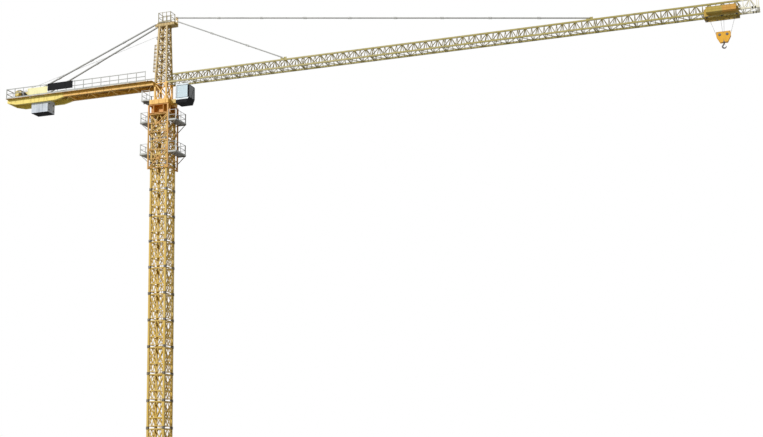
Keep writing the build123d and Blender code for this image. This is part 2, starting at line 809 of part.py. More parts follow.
with BuildPart() as cab_windows:
    for y in (cab_near + cab_wall / 2, cab_far - cab_wall / 2):
        box_between((cab_rear + cab_pillar + seat, y - cab_pane / 2, window_low + seat),
                    (cab_front - cab_pillar - seat, y + cab_pane / 2, window_high - seat))
    box_between((cab_front - (cab_wall + cab_pane) / 2, cab_near + cab_pillar + seat, window_low + seat),
                (cab_front - (cab_wall - cab_pane) / 2, cab_far - cab_pillar - seat, window_high - seat))
save(cab_windows, "cab_windows")

with BuildPart() as cab_beams:
    for y in (cab_near + cab_beam_inset, cab_far - cab_beam_inset):
        box_between((upper_support_width / 2 + seat, y - cab_beam / 2, upper_level + support_plate),
                    (cab_rear - seat, y + cab_beam / 2, column_foot - support_plate))
save(cab_beams, "cab_beams")

# Trolley: side plates outside the lower chords, cross beams below, sheave plates in the middle
plate_inner = jib_half + jib_chord / 2 + running_gap
plate_outer = plate_inner + trolley_plate
frame_low = jib_level - jib_chord / 2 - trolley_bottom
frame_high = jib_level + jib_chord / 2 + trolley_top
trolley_rear = trolley_x - trolley_length / 2
trolley_front = trolley_x + trolley_length / 2
sheave_plate_line = sheave_width / 2 + running_gap / 2
with BuildPart() as trolley_frame:
    for side in (-1, 1):
        inner, outer = sorted((side * plate_inner, side * plate_outer))
        box_between((trolley_rear, inner, frame_low), (trolley_front, outer, frame_high))
        inner, outer = sorted((side * sheave_plate_line, side * (sheave_plate_line + trolley_plate)))
        box_between((trolley_rear, inner, frame_low - trolley_cross),
                    (trolley_front, outer, frame_low + trolley_cross))
    for x in (trolley_rear, trolley_front - trolley_cross):
        for side in (-1, 1):
            inner, outer = sorted((side * sheave_plate_line, side * plate_outer))
            box_between((x, inner, frame_low), (x + trolley_cross, outer, frame_low + trolley_cross))
    for x in (trolley_x - outer_fall / 2, trolley_x + outer_fall / 2 - trolley_cross):
        box_between((x, -plate_outer, frame_low), (x + trolley_cross, plate_outer, frame_low + trolley_cross))
save(trolley_frame, "trolley_frame")

wheel_line = jib_half + jib_chord / 2 - wheel_width / 2
wheel_z = jib_level + jib_chord / 2 + wheel_diameter / 2 + seat
wheel_spots = [(trolley_x + end * wheel_base / 2, side) for end in (-1, 1) for side in (-1, 1)]
with BuildPart() as trolley_wheels:
    with BuildSketch(*[upright(x, side * wheel_line, wheel_z) for x, side in wheel_spots]):
        RegularPolygon(wheel_diameter / 2, disc_sides)
    extrude(amount=wheel_width / 2, both=True)
    axle = (plate_inner - seat - wheel_line) / 2
    with BuildSketch(*[upright(x, side * (wheel_line + axle), wheel_z) for x, side in wheel_spots]):
        RegularPolygon(wheel_hub / 2, hub_sides)
    extrude(amount=axle, both=True)
save(trolley_wheels, "trolley_wheels")

sheave_spots = [
    (trolley_x - outer_fall - outer_sheave / 2, outer_sheave),
    (trolley_x, middle_sheave),
    (trolley_x + outer_fall + outer_sheave / 2, outer_sheave),
]
with BuildPart() as trolley_sheaves:
    for x, diameter in sheave_spots:
        with BuildSketch(upright(x, 0, rope_level - diameter / 2)):
            RegularPolygon((diameter - rope) / 2 - seat, disc_sides)
        extrude(amount=sheave_width / 2, both=True)
        with BuildSketch(upright(x, 0, rope_level - diameter / 2)):
            RegularPolygon(sheave_hub / 2, hub_sides)
        extrude(amount=sheave_plate_line - seat, both=True)
save(trolley_sheaves, "trolley_sheaves")

with BuildPart() as trolley_basket:
    near = -plate_outer - seat
    low = jib_level - jib_chord / 2 - basket_drop
    rear, front = trolley_x - basket_length / 2, trolley_x + basket_length / 2
    box_between((rear, near - basket_depth, low), (front, near, low + basket_height))
    box_between((rear + basket_wall, near - basket_depth + basket_wall, low + basket_wall),
                (front - basket_wall, near - basket_wall, low + 2 * basket_height), mode=Mode.SUBTRACT)
save(trolley_basket, "trolley_basket")

# Hook block: two cheeks, two sheaves between them, crosshead below
block_top = jib_level - block_drop
block_axis = block_top - block_sheave / 2
block_foot = block_top - block_height
cheek_line = block_gap / 2
with BuildPart() as hook_block:
    for side in (-1, 1):
        start = cheek_line if side > 0 else -cheek_line - block_cheek
        with BuildSketch(Plane.XZ.offset(-start)):
            with BuildLine():
                Polyline((trolley_x - block_width / 2, block_top), (trolley_x + block_width / 2, block_top),
                         (trolley_x + block_width / 2, block_axis - block_shoulder),
                         (trolley_x + block_foot_width / 2, block_foot),
                         (trolley_x - block_foot_width / 2, block_foot),
                         (trolley_x - block_width / 2, block_axis - block_shoulder), close=True)
            make_face()
        extrude(amount=-block_cheek)
    box_between((trolley_x - block_crosshead / 2, -cheek_line, block_foot),
                (trolley_x + block_crosshead / 2, cheek_line, block_foot + hook_shank))
save(hook_block, "hook_block")

with BuildPart() as block_sheaves:
    spots = [upright(trolley_x + side * block_sheave_offset, 0, block_axis) for side in (-1, 1)]
    with BuildSketch(*spots):
        RegularPolygon((block_sheave - rope) / 2 - seat, disc_sides)
    extrude(amount=sheave_width / 2, both=True)
    with BuildSketch(*spots):
        RegularPolygon(block_hub / 2, hub_sides)
    extrude(amount=block_gap / 2 - seat, both=True)
save(block_sheaves, "block_sheaves")

# Hook: shank and a bent body with an open throat
hook_top = block_foot - seat
hook_centre = hook_top - hook_shank - hook_throat / 2 - hook_body
with BuildPart() as hook:
    with Locations((trolley_x, 0, hook_top)):
        Cylinder(hook_shank / 2, hook_shank + hook_body, align=HANG)
    with BuildSketch(Plane.XZ):
        with Locations((trolley_x, hook_centre)):
            Circle(hook_throat / 2 + hook_body)
            Circle(hook_throat / 2, mode=Mode.SUBTRACT)
            Rectangle(hook_throat + 2 * hook_body, hook_throat / 2 + hook_body,
                      align=(Align.MIN, Align.MIN), mode=Mode.SUBTRACT)
    extrude(amount=hook_thickness / 2, both=True)
save(hook, "hook")


def rope_foot(top, centre, radius, side):
    """Where a straight rope from a point above meets a sheave below."""
    dx, dz = top[0] - centre[0], top[1] - centre[1]
    reach = hypot(dx, dz)
    turn = -side * acos(radius / reach)
    ux, uz = radius * dx / reach, radius * dz / reach
    return (centre[0] + ux * cos(turn) - uz * sin(turn), centre[1] + ux * sin(turn) + uz * cos(turn))


# Rope falls between trolley and hook block, and the straight runs along jib and counter-jib
with BuildPart() as hoist_falls:
    for side in (-1, 1):
        centre = (trolley_x + side * block_sheave_offset, block_axis)
        falls = ((outer_fall, outer_sheave, side), (middle_sheave / 2, middle_sheave, -side))
        for reach, diameter, outward in falls:
            top = (trolley_x + side * reach, rope_level - diameter / 2)
            foot = rope_foot(top, centre, block_sheave / 2, outward)
            bars([((top[0], 0, top[1]), (foot[0], 0, foot[1]))], rope, rope, (0, 1, 0))
save(hoist_falls, "hoist_falls")

with BuildPart() as jib_rope:
    bars([((rope_start + seat, 0, rope_level), (jib_tip, 0, rope_level))], rope, rope, (0, 0, 1))
save(jib_rope, "jib_rope")

with BuildPart() as winch_rope:
    end = (winch_x, 0, drum_axis + drum_diameter / 2 + rope / 2 + seat)
    run = hypot(sheave_x - end[0], sheave_z - end[2])
    lift = head_sheave_diameter / 2 + rope / 2 + seat
    start = (sheave_x - lift * (sheave_z - end[2]) / run, 0, sheave_z + lift * (sheave_x - end[0]) / run)
    bars([(start, end)], rope, rope, (0, 1, 0))
save(winch_rope, "winch_rope")
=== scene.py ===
"""Looks of the half-size tower crane: finishes, fine bracing, ladders, sheaves, ropes and fittings."""

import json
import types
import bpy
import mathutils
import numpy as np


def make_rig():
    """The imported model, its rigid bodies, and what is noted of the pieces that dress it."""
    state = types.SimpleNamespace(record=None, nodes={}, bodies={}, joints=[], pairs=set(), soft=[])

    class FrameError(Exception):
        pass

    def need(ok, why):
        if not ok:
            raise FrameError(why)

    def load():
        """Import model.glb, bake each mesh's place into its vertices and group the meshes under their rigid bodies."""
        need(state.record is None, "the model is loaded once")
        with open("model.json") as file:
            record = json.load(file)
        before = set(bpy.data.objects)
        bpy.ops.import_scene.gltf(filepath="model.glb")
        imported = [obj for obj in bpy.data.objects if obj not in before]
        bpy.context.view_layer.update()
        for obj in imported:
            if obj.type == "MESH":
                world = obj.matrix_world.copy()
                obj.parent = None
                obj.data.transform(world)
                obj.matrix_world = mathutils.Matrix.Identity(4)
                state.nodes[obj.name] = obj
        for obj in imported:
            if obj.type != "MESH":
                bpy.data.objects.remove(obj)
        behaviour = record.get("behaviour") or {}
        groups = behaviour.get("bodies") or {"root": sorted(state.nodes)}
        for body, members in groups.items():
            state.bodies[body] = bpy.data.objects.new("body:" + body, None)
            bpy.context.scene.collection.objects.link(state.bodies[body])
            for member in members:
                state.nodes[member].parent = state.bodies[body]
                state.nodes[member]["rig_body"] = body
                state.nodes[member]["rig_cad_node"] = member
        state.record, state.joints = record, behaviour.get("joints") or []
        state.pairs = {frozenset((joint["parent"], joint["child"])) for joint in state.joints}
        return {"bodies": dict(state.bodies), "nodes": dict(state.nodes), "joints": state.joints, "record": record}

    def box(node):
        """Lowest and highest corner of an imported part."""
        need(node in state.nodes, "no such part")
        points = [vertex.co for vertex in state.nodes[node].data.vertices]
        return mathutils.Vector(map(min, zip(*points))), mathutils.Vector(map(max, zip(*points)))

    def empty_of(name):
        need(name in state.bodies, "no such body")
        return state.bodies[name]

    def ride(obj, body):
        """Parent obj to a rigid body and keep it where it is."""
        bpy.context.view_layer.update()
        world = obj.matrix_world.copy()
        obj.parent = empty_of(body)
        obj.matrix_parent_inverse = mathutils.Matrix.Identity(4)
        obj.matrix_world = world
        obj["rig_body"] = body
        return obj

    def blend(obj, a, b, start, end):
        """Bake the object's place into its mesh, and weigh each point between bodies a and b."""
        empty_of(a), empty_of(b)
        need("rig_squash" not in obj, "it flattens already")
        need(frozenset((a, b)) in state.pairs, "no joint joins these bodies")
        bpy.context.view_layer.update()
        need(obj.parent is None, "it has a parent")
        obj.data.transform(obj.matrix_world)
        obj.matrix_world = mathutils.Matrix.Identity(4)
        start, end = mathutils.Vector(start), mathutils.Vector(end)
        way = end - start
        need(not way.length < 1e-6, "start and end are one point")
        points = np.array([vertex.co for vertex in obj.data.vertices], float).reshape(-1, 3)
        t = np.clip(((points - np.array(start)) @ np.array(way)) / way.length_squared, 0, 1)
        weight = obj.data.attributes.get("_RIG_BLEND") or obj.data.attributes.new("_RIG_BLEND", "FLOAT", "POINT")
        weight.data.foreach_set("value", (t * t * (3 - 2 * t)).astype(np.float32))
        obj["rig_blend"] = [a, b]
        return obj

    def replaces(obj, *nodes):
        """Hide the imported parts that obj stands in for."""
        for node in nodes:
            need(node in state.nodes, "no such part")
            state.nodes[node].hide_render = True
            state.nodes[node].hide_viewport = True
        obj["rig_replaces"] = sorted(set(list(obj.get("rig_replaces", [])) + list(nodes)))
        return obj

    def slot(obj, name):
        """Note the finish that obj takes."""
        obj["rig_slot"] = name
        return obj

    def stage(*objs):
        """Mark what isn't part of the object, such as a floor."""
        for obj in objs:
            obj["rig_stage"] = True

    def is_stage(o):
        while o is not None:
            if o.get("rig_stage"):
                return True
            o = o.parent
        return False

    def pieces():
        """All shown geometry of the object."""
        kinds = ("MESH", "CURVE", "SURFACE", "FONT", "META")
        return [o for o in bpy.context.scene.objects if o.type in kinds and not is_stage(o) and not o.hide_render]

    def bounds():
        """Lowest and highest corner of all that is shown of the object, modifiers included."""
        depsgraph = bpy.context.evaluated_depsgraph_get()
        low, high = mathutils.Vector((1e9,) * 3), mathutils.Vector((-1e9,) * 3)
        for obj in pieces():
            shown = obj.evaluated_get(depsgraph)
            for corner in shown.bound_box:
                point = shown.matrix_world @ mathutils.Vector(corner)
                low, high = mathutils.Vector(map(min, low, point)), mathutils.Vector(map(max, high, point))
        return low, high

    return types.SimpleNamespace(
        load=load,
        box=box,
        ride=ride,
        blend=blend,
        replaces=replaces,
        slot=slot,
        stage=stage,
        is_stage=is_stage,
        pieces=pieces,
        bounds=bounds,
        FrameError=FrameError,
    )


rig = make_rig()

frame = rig.load()

import json
import logging
import math
from dataclasses import dataclass
from enum import Enum
from typing import Sequence, Union

import bmesh
import bpy
from mathutils import Matrix, Vector

CAD_BOX = [list(corner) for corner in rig.bounds()]
LOG = logging.getLogger("tower_crane")

Pair = tuple[float, float]
Triple = tuple[float, float, float]
Run = tuple[Triple, Triple]
Colour = tuple[int, int, int]
Operand = Union["Signal", float]

ALONG_X: Triple = (1.0, 0.0, 0.0)
ALONG_Y: Triple = (0.0, 1.0, 0.0)
ALONG_Z: Triple = (0.0, 0.0, 1.0)

# Colour sockets of the mix node
MIX_INPUTS = (6, 7)
MIX_OUTPUT = 2


class Body(str, Enum):
    """The moving bodies of the crane."""

    MAST = "mast"
    UPPER = "upperworks"
    TROLLEY = "trolley"
    BLOCK = "hook_block"
    HOOK = "hook"


class Axis(Enum):
    """One of the three directions of the shared frame."""

    X = 0
    Y = 1
    Z = 2


@dataclass(frozen=True)
class Zone:
    """A stretch of a piece that is painted in another colour."""

    axis: Axis
    start: float
    stop: float
    colour: Colour
    soft: float = 0.01


def linear(colour: Colour) -> Triple:
    """Turn a display colour into scene light.

    Args:
        colour: Red, green and blue from 0 to 255.

    Returns:
        The colour as linear numbers.
    """
    knee, power = 0.04045, 2.4
    shares = [channel / 255.0 for channel in colour]
    red, green, blue = (s / 12.92 if s <= knee else ((s + 0.055) / 1.055) ** power for s in shares)
    return (red, green, blue)


class Signal:
    """A shader value that takes part in Python arithmetic."""

    def __init__(self, graph: "Graph", socket: bpy.types.NodeSocket) -> None:
        """Keep the graph and the socket that carries the value."""
        self.graph = graph
        self.socket = socket

    def _maths(self, operation: str, first: Operand, second: Operand) -> "Signal":
        """One Math node on two values, as a new signal."""
        made = self.graph.node("ShaderNodeMath", {"operation": operation}, {0: first, 1: second})
        return Signal(self.graph, made.outputs[0])

    def __add__(self, other: Operand) -> "Signal":
        """Sum of two values."""
        return self._maths("ADD", self, other)

    def __radd__(self, other: Operand) -> "Signal":
        """Sum with a number on the left."""
        return self._maths("ADD", other, self)

    def __sub__(self, other: Operand) -> "Signal":
        """Difference of two values."""
        return self._maths("SUBTRACT", self, other)

    def __rsub__(self, other: Operand) -> "Signal":
        """Difference with a number on the left."""
        return self._maths("SUBTRACT", other, self)

    def __mul__(self, other: Operand) -> "Signal":
        """Product of two values."""
        return self._maths("MULTIPLY", self, other)

    def __rmul__(self, other: Operand) -> "Signal":
        """Product with a number on the left."""
        return self._maths("MULTIPLY", other, self)

    def larger(self, other: Operand) -> "Signal":
        """Larger of two values."""
        return self._maths("MAXIMUM", self, other)

    def between(self, low: float, high: float) -> "Signal":
        """Smooth step from 0 at the low value to 1 at the high one."""
        made = self.graph.node("ShaderNodeMapRange", {"interpolation_type": "SMOOTHSTEP"},
                               {"Value": self, "From Min": low, "From Max": high})
        return Signal(self.graph, made.outputs[0])


class Graph:
    """A node tree, of a finish or of the background."""

    def __init__(self, tree: bpy.types.NodeTree) -> None:
        """Start with the emptied tree."""
        self.tree = tree
        self.tree.nodes.clear()

    def node(self, kind: str, settings: dict | None = None, sockets: dict | None = None) -> bpy.types.Node:
        """Make any node.

        Args:
            kind: The node's type name.
            settings: Properties of the node, set first.
            sockets: Values or signals for its inputs, by name or number.

        Returns:
            The new node.
        """
        made = self.tree.nodes.new(kind)
        for key, value in (settings or {}).items():
            setattr(made, key, value)
        for key, value in (sockets or {}).items():
            if isinstance(value, Signal):
                self.tree.links.new(value.socket, made.inputs[key])
            else:
                made.inputs[key].default_value = value
        return made

    def place(self, stretch: Triple = (1.0, 1.0, 1.0), turn: float = 0.0) -> Signal:
        """Object coordinates, stretched along the axes.

        Args:
            stretch: Factor along each axis.
            turn: Turn round the upright axis, in radians.

        Returns:
            The coordinate signal.
        """
        coords = self.node("ShaderNodeTexCoord")
        mapped = self.node("ShaderNodeMapping", None, {
            "Vector": Signal(self, coords.outputs["Object"]), "Rotation": (0.0, 0.0, turn), "Scale": stretch})
        return Signal(self, mapped.outputs[0])

    def within(self, zone: Zone) -> Signal:
        """Share of a zone at each point.

        Args:
            zone: The stretch along one axis.

        Returns:
            1 inside the zone, 0 outside it.
        """
        parts = self.node("ShaderNodeSeparateXYZ", None, {0: self.place()})
        along = Signal(self, parts.outputs[zone.axis.value])
        begun = along.between(zone.start - zone.soft, zone.start + zone.soft)
        return begun * (1.0 - along.between(zone.stop - zone.soft, zone.stop + zone.soft))

    def ray_share(self, *kinds: str) -> Signal:
        """Share of rays of the named kinds.

        Args:
            kinds: Names of the light path's outputs.

        Returns:
            1 for such rays, 0 for all others.
        """
        path = self.node("ShaderNodeLightPath")
        share = Signal(self, path.outputs[kinds[0]])
        for kind in kinds[1:]:
            share = share.larger(Signal(self, path.outputs[kind]))
        return share

    def noise(self, scale: float, detail: float = 4.0, stretch: Triple = (1.0, 1.0, 1.0),
              twist: float = 0.0) -> Signal:
        """Cloudy noise from 0 to 1, by grains per metre, finer layers, stretch along the axes and twist."""
        made = self.node("ShaderNodeTexNoise", None, {
            "Vector": self.place(stretch), "Scale": scale, "Detail": detail, "Distortion": twist})
        return Signal(self, made.outputs[0])

    def mix(self, share: Operand, first: Union[Signal, Colour], second: Union[Signal, Colour]) -> Signal:
        """Blend two colours.

        Args:
            share: Share of the second colour.
            first: Colour at share 0.
            second: Colour at share 1.

        Returns:
            The blended colour.
        """
        entries = {0: share}
        for socket, colour in zip(MIX_INPUTS, (first, second)):
            entries[socket] = colour if isinstance(colour, Signal) else (*linear(colour), 1.0)
        made = self.node("ShaderNodeMix", {"data_type": "RGBA"}, entries)
        return Signal(self, made.outputs[MIX_OUTPUT])

    def bump(self, height: Signal, depth: float, strength: float = 0.6) -> Signal:
        """Normal that a height bends, by depth in metres and strength."""
        made = self.node("ShaderNodeBump", None, {"Strength": strength, "Distance": depth, "Height": height})
        return Signal(self, made.outputs[0])


class MaterialGraph(Graph):
    """The node tree of one finish."""

    def __init__(self, name: str) -> None:
        """Start an empty material.

        Args:
            name: Name of the material.
        """
        self.material = bpy.data.materials.new(name)
        self.material.use_nodes = True
        super().__init__(self.material.node_tree)

    def surface(self, sockets: dict) -> bpy.types.Material:
        """Close the graph with a shader.

        Args:
            sockets: Values or signals for the shader's inputs.

        Returns:
            The finished material.
        """
        shader = self.node("ShaderNodeBsdfPrincipled", None, sockets)
        self.node("ShaderNodeOutputMaterial", None, {"Surface": Signal(self, shader.outputs[0])})
        return self.material


@dataclass(frozen=True)
class Finish:
    """A surface finish that is made once and shared by its pieces."""

    name: str
    slot: str

    def _make(self) -> bpy.types.Material:
        """Build the material."""
        raise NotImplementedError

    def material(self) -> bpy.types.Material:
        """The material, built on first use."""
        known = bpy.data.materials.get(self.name)
        return known if known is not None else self._make()


@dataclass(frozen=True)
class Paint(Finish):
    """Weathered machine paint on steel: fading, rain streaks, grime and chips."""

    colour: Colour
    faded: Colour
    grime: Colour
    bare: Colour = (92, 62, 44)
    roughness: float = 0.42
    streaks: float = 0.5
    chips: float = 0.66
    coat: float = 0.1
    specular: float = 0.25
    zones: tuple[Zone, ...] = ()

    def _make(self) -> bpy.types.Material:
        """Layer fading, streaks and chips over the paint colour.

        Returns:
            The finished material.
        """
        graph = MaterialGraph(self.name)
        fade = graph.noise(0.9, 3.0).between(0.38, 0.68)
        streak = graph.noise(9.0, 5.0, (1.0, 1.0, 0.12)).between(0.5, 0.78)
        dust = graph.noise(38.0, 5.0).between(0.45, 0.8)
        chip = graph.noise(40.0, 7.0, twist=0.6).between(self.chips, self.chips + 0.05)
        tint = graph.mix(fade, self.colour, self.faded)
        for zone in self.zones:
            tint = graph.mix(graph.within(zone), tint, zone.colour)
        tint = graph.mix((streak * self.streaks + dust * 0.16) * 0.75, tint, self.grime)
        tint = graph.mix(chip * 0.85, tint, self.bare)
        rough = self.roughness + 0.16 * streak + 0.1 * dust + 0.25 * chip
        peel = graph.noise(320.0, 2.0)
        relief = graph.bump(peel * 0.12 + (1.0 - chip) * 0.8 + dust * 0.1, 0.0012, 0.5)
        return graph.surface({"Base Color": tint, "Roughness": rough, "Normal": relief,
                              "Specular IOR Level": self.specular, "Coat Weight": self.coat,
                              "Coat Roughness": 0.3})


@dataclass(frozen=True)
class Steel(Finish):
    """Bare or oiled steel with dark stains and fine scratches."""

    colour: Colour
    stain: Colour
    metallic: float = 0.85
    roughness: float = 0.38
    lay: Axis = Axis.X

    def _make(self) -> bpy.types.Material:
        """Mix stains over steel and scratch it along its lay.

        Returns:
            The finished material.
        """
        graph = MaterialGraph(self.name)
        stretch = {Axis.X: (0.06, 1.0, 1.0), Axis.Y: (1.0, 0.06, 1.0), Axis.Z: (1.0, 1.0, 0.06)}[self.lay]
        stain = graph.noise(14.0, 6.0, twist=0.8).between(0.42, 0.7)
        scratch = graph.noise(160.0, 3.0, stretch)
        tint = graph.mix(stain * 0.85, self.colour, self.stain)
        rough = self.roughness + 0.28 * stain + 0.12 * scratch
        relief = graph.bump(scratch + stain * 0.5, 0.0005, 0.4)
        return graph.surface({"Base Color": tint, "Roughness": rough, "Normal": relief,
                              "Metallic": self.metallic - 0.45 * stain})


@dataclass(frozen=True)
class Rope(Finish):
    """Greased wire rope whose strands lie across its run."""

    colour: Colour
    grease: Colour

    def _make(self) -> bpy.types.Material:
        """Band the rope along its run for the strands.

        Returns:
            The finished material.
        """
        graph = MaterialGraph(self.name)
        made = graph.node("ShaderNodeTexWave", {"bands_direction": "DIAGONAL"}, {
            "Vector": graph.place(), "Scale": 34.0, "Distortion": 0.6, "Detail": 1.0})
        strand = Signal(graph, made.outputs[1])
        grease = graph.noise(11.0, 5.0).between(0.4, 0.7)
        tint = graph.mix(grease * 0.7 + (1.0 - strand) * 0.25, self.colour, self.grease)
        relief = graph.bump(strand, 0.0012, 0.8)
        return graph.surface({"Base Color": tint, "Roughness": 0.4 + 0.2 * grease,
                              "Metallic": 0.7 - 0.3 * grease, "Normal": relief})


@dataclass(frozen=True)
class Stone(Finish):
    """Cast concrete: mottled, with pores, form lines and damp streaks."""

    colour: Colour
    pale: Colour
    damp: Colour

    def _make(self) -> bpy.types.Material:
        """Mottle, pore and streak the cast faces.

        Returns:
            The finished material.
        """
        graph = MaterialGraph(self.name)
        mottle = graph.noise(3.5, 7.0).between(0.34, 0.7)
        streak = graph.noise(11.0, 4.0, (1.0, 1.0, 0.1)).between(0.5, 0.75)
        cells = graph.node("ShaderNodeTexVoronoi", {"feature": "F1"},
                           {"Vector": graph.place(), "Scale": 55.0})
        pore = 1.0 - Signal(graph, cells.outputs[0]).between(0.08, 0.2)
        grain = graph.noise(140.0, 4.0)
        tint = graph.mix(mottle, self.colour, self.pale)
        tint = graph.mix(streak * 0.55 + pore * 0.35, tint, self.damp)
        relief = graph.bump(grain * 0.4 - pore * 0.8 + mottle * 0.3, 0.003, 0.7)
        return graph.surface({"Base Color": tint, "Roughness": 0.8 + 0.12 * grain, "Normal": relief})


@dataclass(frozen=True)
class Pane(Finish):
    """Safety glass with a film of dust; its pale colour is a painted reflection of the bright sky, and the front pane
    is darker as painted shade.
    """

    colour: Colour
    shade: Zone
    dust: Colour = (176, 182, 180)

    def _make(self) -> bpy.types.Material:
        """Pale glass, a painted sky reflection, whose gloss is broken by dust, with painted shade on the front pane.

        Returns:
            The finished material.
        """
        graph = MaterialGraph(self.name)
        dust = graph.noise(18.0, 6.0).between(0.45, 0.8)
        film = graph.noise(3.0, 4.0, (1.0, 1.0, 0.4)).between(0.4, 0.7)
        # painted shade: the front pane, which faces away from the sun, is darkened in its colour; the pale colour
        # elsewhere is a painted sky reflection
        tint = graph.mix(graph.within(self.shade), self.colour, self.shade.colour)
        tint = graph.mix(dust * 0.3, tint, self.dust)
        return graph.surface({"Base Color": tint, "Roughness": 0.03 + 0.1 * dust + 0.05 * film,
                              "Transmission Weight": 0.15, "IOR": 1.45})


@dataclass(frozen=True)
class Tread(Finish):
    """Walkway plate with raised studs, worn bright where feet pass."""

    colour: Colour
    worn: Colour
    mud: Colour
    stud: float = 26.0

    def _make(self) -> bpy.types.Material:
        """Studs from crossed waves, wear on their tops and mud between them.

        Returns:
            The finished material.
        """
        graph = MaterialGraph(self.name)
        waves = []
        for turn in (math.pi / 4, -math.pi / 4):
            wave = graph.node("ShaderNodeTexWave", None, {
                "Vector": graph.place(turn=turn), "Scale": self.stud, "Distortion": 0.0})
            waves.append(Signal(graph, wave.outputs[1]))
        stud = (waves[0] * waves[1]).between(0.45, 0.7)
        mud = graph.noise(5.0, 6.0).between(0.42, 0.68)
        tint = graph.mix(stud * 0.5, self.colour, self.worn)
        tint = graph.mix(mud * 0.7, tint, self.mud)
        relief = graph.bump(stud + mud * 0.2, 0.002, 0.8)
        return graph.surface({"Base Color": tint, "Roughness": 0.45 + 0.3 * mud, "Normal": relief,
                              "Metallic": 0.35 - 0.3 * mud})


class Coat:
    """All finishes of the crane, with their slots and their colours from 0 to 255."""

    MAST = Paint("paint_mast_yellow", "mast_yellow", (206, 170, 72), (204, 174, 92), (134, 106, 48))
    CAGE = Paint("paint_cage_gold", "mast_yellow", (202, 144, 46), (196, 148, 62), (116, 80, 30))
    SLEW = Paint("paint_slewing_gold", "mast_yellow", (226, 170, 62), (228, 182, 86), (156, 106, 38))
    SUPPORT = Paint("paint_support_orange", "mast_yellow", (206, 142, 40), (204, 150, 58), (124, 80, 28))
    # painted shade: the head takes a darker olive copy of the mast's yellow paint, which stands in for the shade in
    # its dense bracing
    HEAD = Paint("paint_head_shaded_yellow", "mast_yellow", (174, 142, 60), (176, 148, 76), (108, 86, 44))
    JIB = Paint("paint_jib_olive", "jib_yellow", (160, 147, 76), (170, 157, 94), (92, 83, 46),
                zones=(Zone(Axis.Z, 20.64, 21.05, (132, 118, 58)),
                       Zone(Axis.X, 27.3, 29.0, (222, 216, 190))))
    COUNTER = Paint("paint_counter_gold", "orange_yellow", (224, 170, 62), (222, 178, 84), (146, 104, 44),
                    zones=(Zone(Axis.X, -9.0, -5.3, (230, 208, 96), 0.05),))
    WINCH = Paint("paint_winch_lemon", "orange_yellow", (226, 200, 94), (230, 208, 120), (136, 116, 58))
    TROLLEY = Paint("paint_trolley_brown", "orange_yellow", (178, 146, 60), (172, 148, 72), (98, 72, 32))
    BASKET = Paint("paint_basket_olive", "orange_yellow", (180, 154, 66), (176, 156, 84), (116, 90, 44),
                   zones=(Zone(Axis.X, 26.55, 29.0, (200, 150, 66), 0.05),))
    BLOCK = Paint("paint_block_orange", "orange_yellow", (224, 166, 46), (216, 170, 64), (140, 106, 42))
    PANEL = Paint("paint_panel_lemon", "orange_yellow", (226, 218, 150), (230, 224, 168), (160, 146, 92),
                  streaks=0.4, chips=0.69)
    RAIL = Paint("paint_rail_pale", "grey_paint", (168, 170, 164), (186, 186, 180), (112, 110, 102),
                 roughness=0.5, coat=0.05)
    HEAD_RAIL = Paint("paint_head_rail_olive", "grey_paint", (146, 134, 92), (160, 150, 112), (98, 88, 60),
                      roughness=0.5, coat=0.05)
    TIE = Paint("paint_tie_grey", "grey_paint", (156, 156, 152), (166, 166, 160), (104, 102, 96),
                roughness=0.5, coat=0.05)
    SLEEVE = Paint("paint_joint_dark", "dark_steel", (84, 74, 56), (104, 92, 64), (48, 44, 40), roughness=0.5)
    BLACK = Paint("paint_black_board", "black_paint", (18, 18, 20), (26, 26, 28), (36, 35, 33),
                  bare=(54, 54, 52), roughness=0.6, streaks=0.25, chips=0.7, coat=0.0, specular=0.08)
    CAB = Paint("paint_cab_white", "cab_white", (208, 220, 224), (220, 227, 229), (150, 152, 150),
                bare=(120, 116, 110), roughness=0.34, streaks=0.3, chips=0.7, coat=0.2)
    DARK = Steel("steel_dark", "dark_steel", (104, 104, 106), (44, 40, 37))
    BRIGHT = Steel("steel_pin_bright", "dark_steel", (172, 172, 170), (88, 80, 70), lay=Axis.Y)
    HOOK = Steel("iron_hook_forged", "hook_iron", (104, 102, 102), (58, 50, 46), metallic=0.7,
                 roughness=0.5, lay=Axis.Z)
    ROPE = Rope("rope_greased", "rope_steel", (124, 124, 120), (52, 49, 45))
    STONE = Stone("concrete_slab", "concrete", (196, 203, 211), (208, 214, 220), (150, 154, 160))
    # painted reflection: the pale colour stands in for the bright sky on the panes; painted shade: the dark zone on
    # the front pane
    GLASS = Pane("glass_cab", "cab_glass", (214, 231, 237), Zone(Axis.X, 1.5, 2.0, (58, 66, 70)))
    PLANK = Tread("tread_walkway", "grey_paint", (138, 138, 134), (176, 176, 172), (98, 88, 74))
    DECK = Tread("tread_counter_deck", "grey_paint", (176, 140, 70), (196, 164, 100), (120, 94, 56))
    RUBBER = Paint("rubber_seal", "black_paint", (20, 20, 21), (32, 32, 32), (58, 56, 53),
                   bare=(40, 40, 40), roughness=0.75, coat=0.0, specular=0.12)


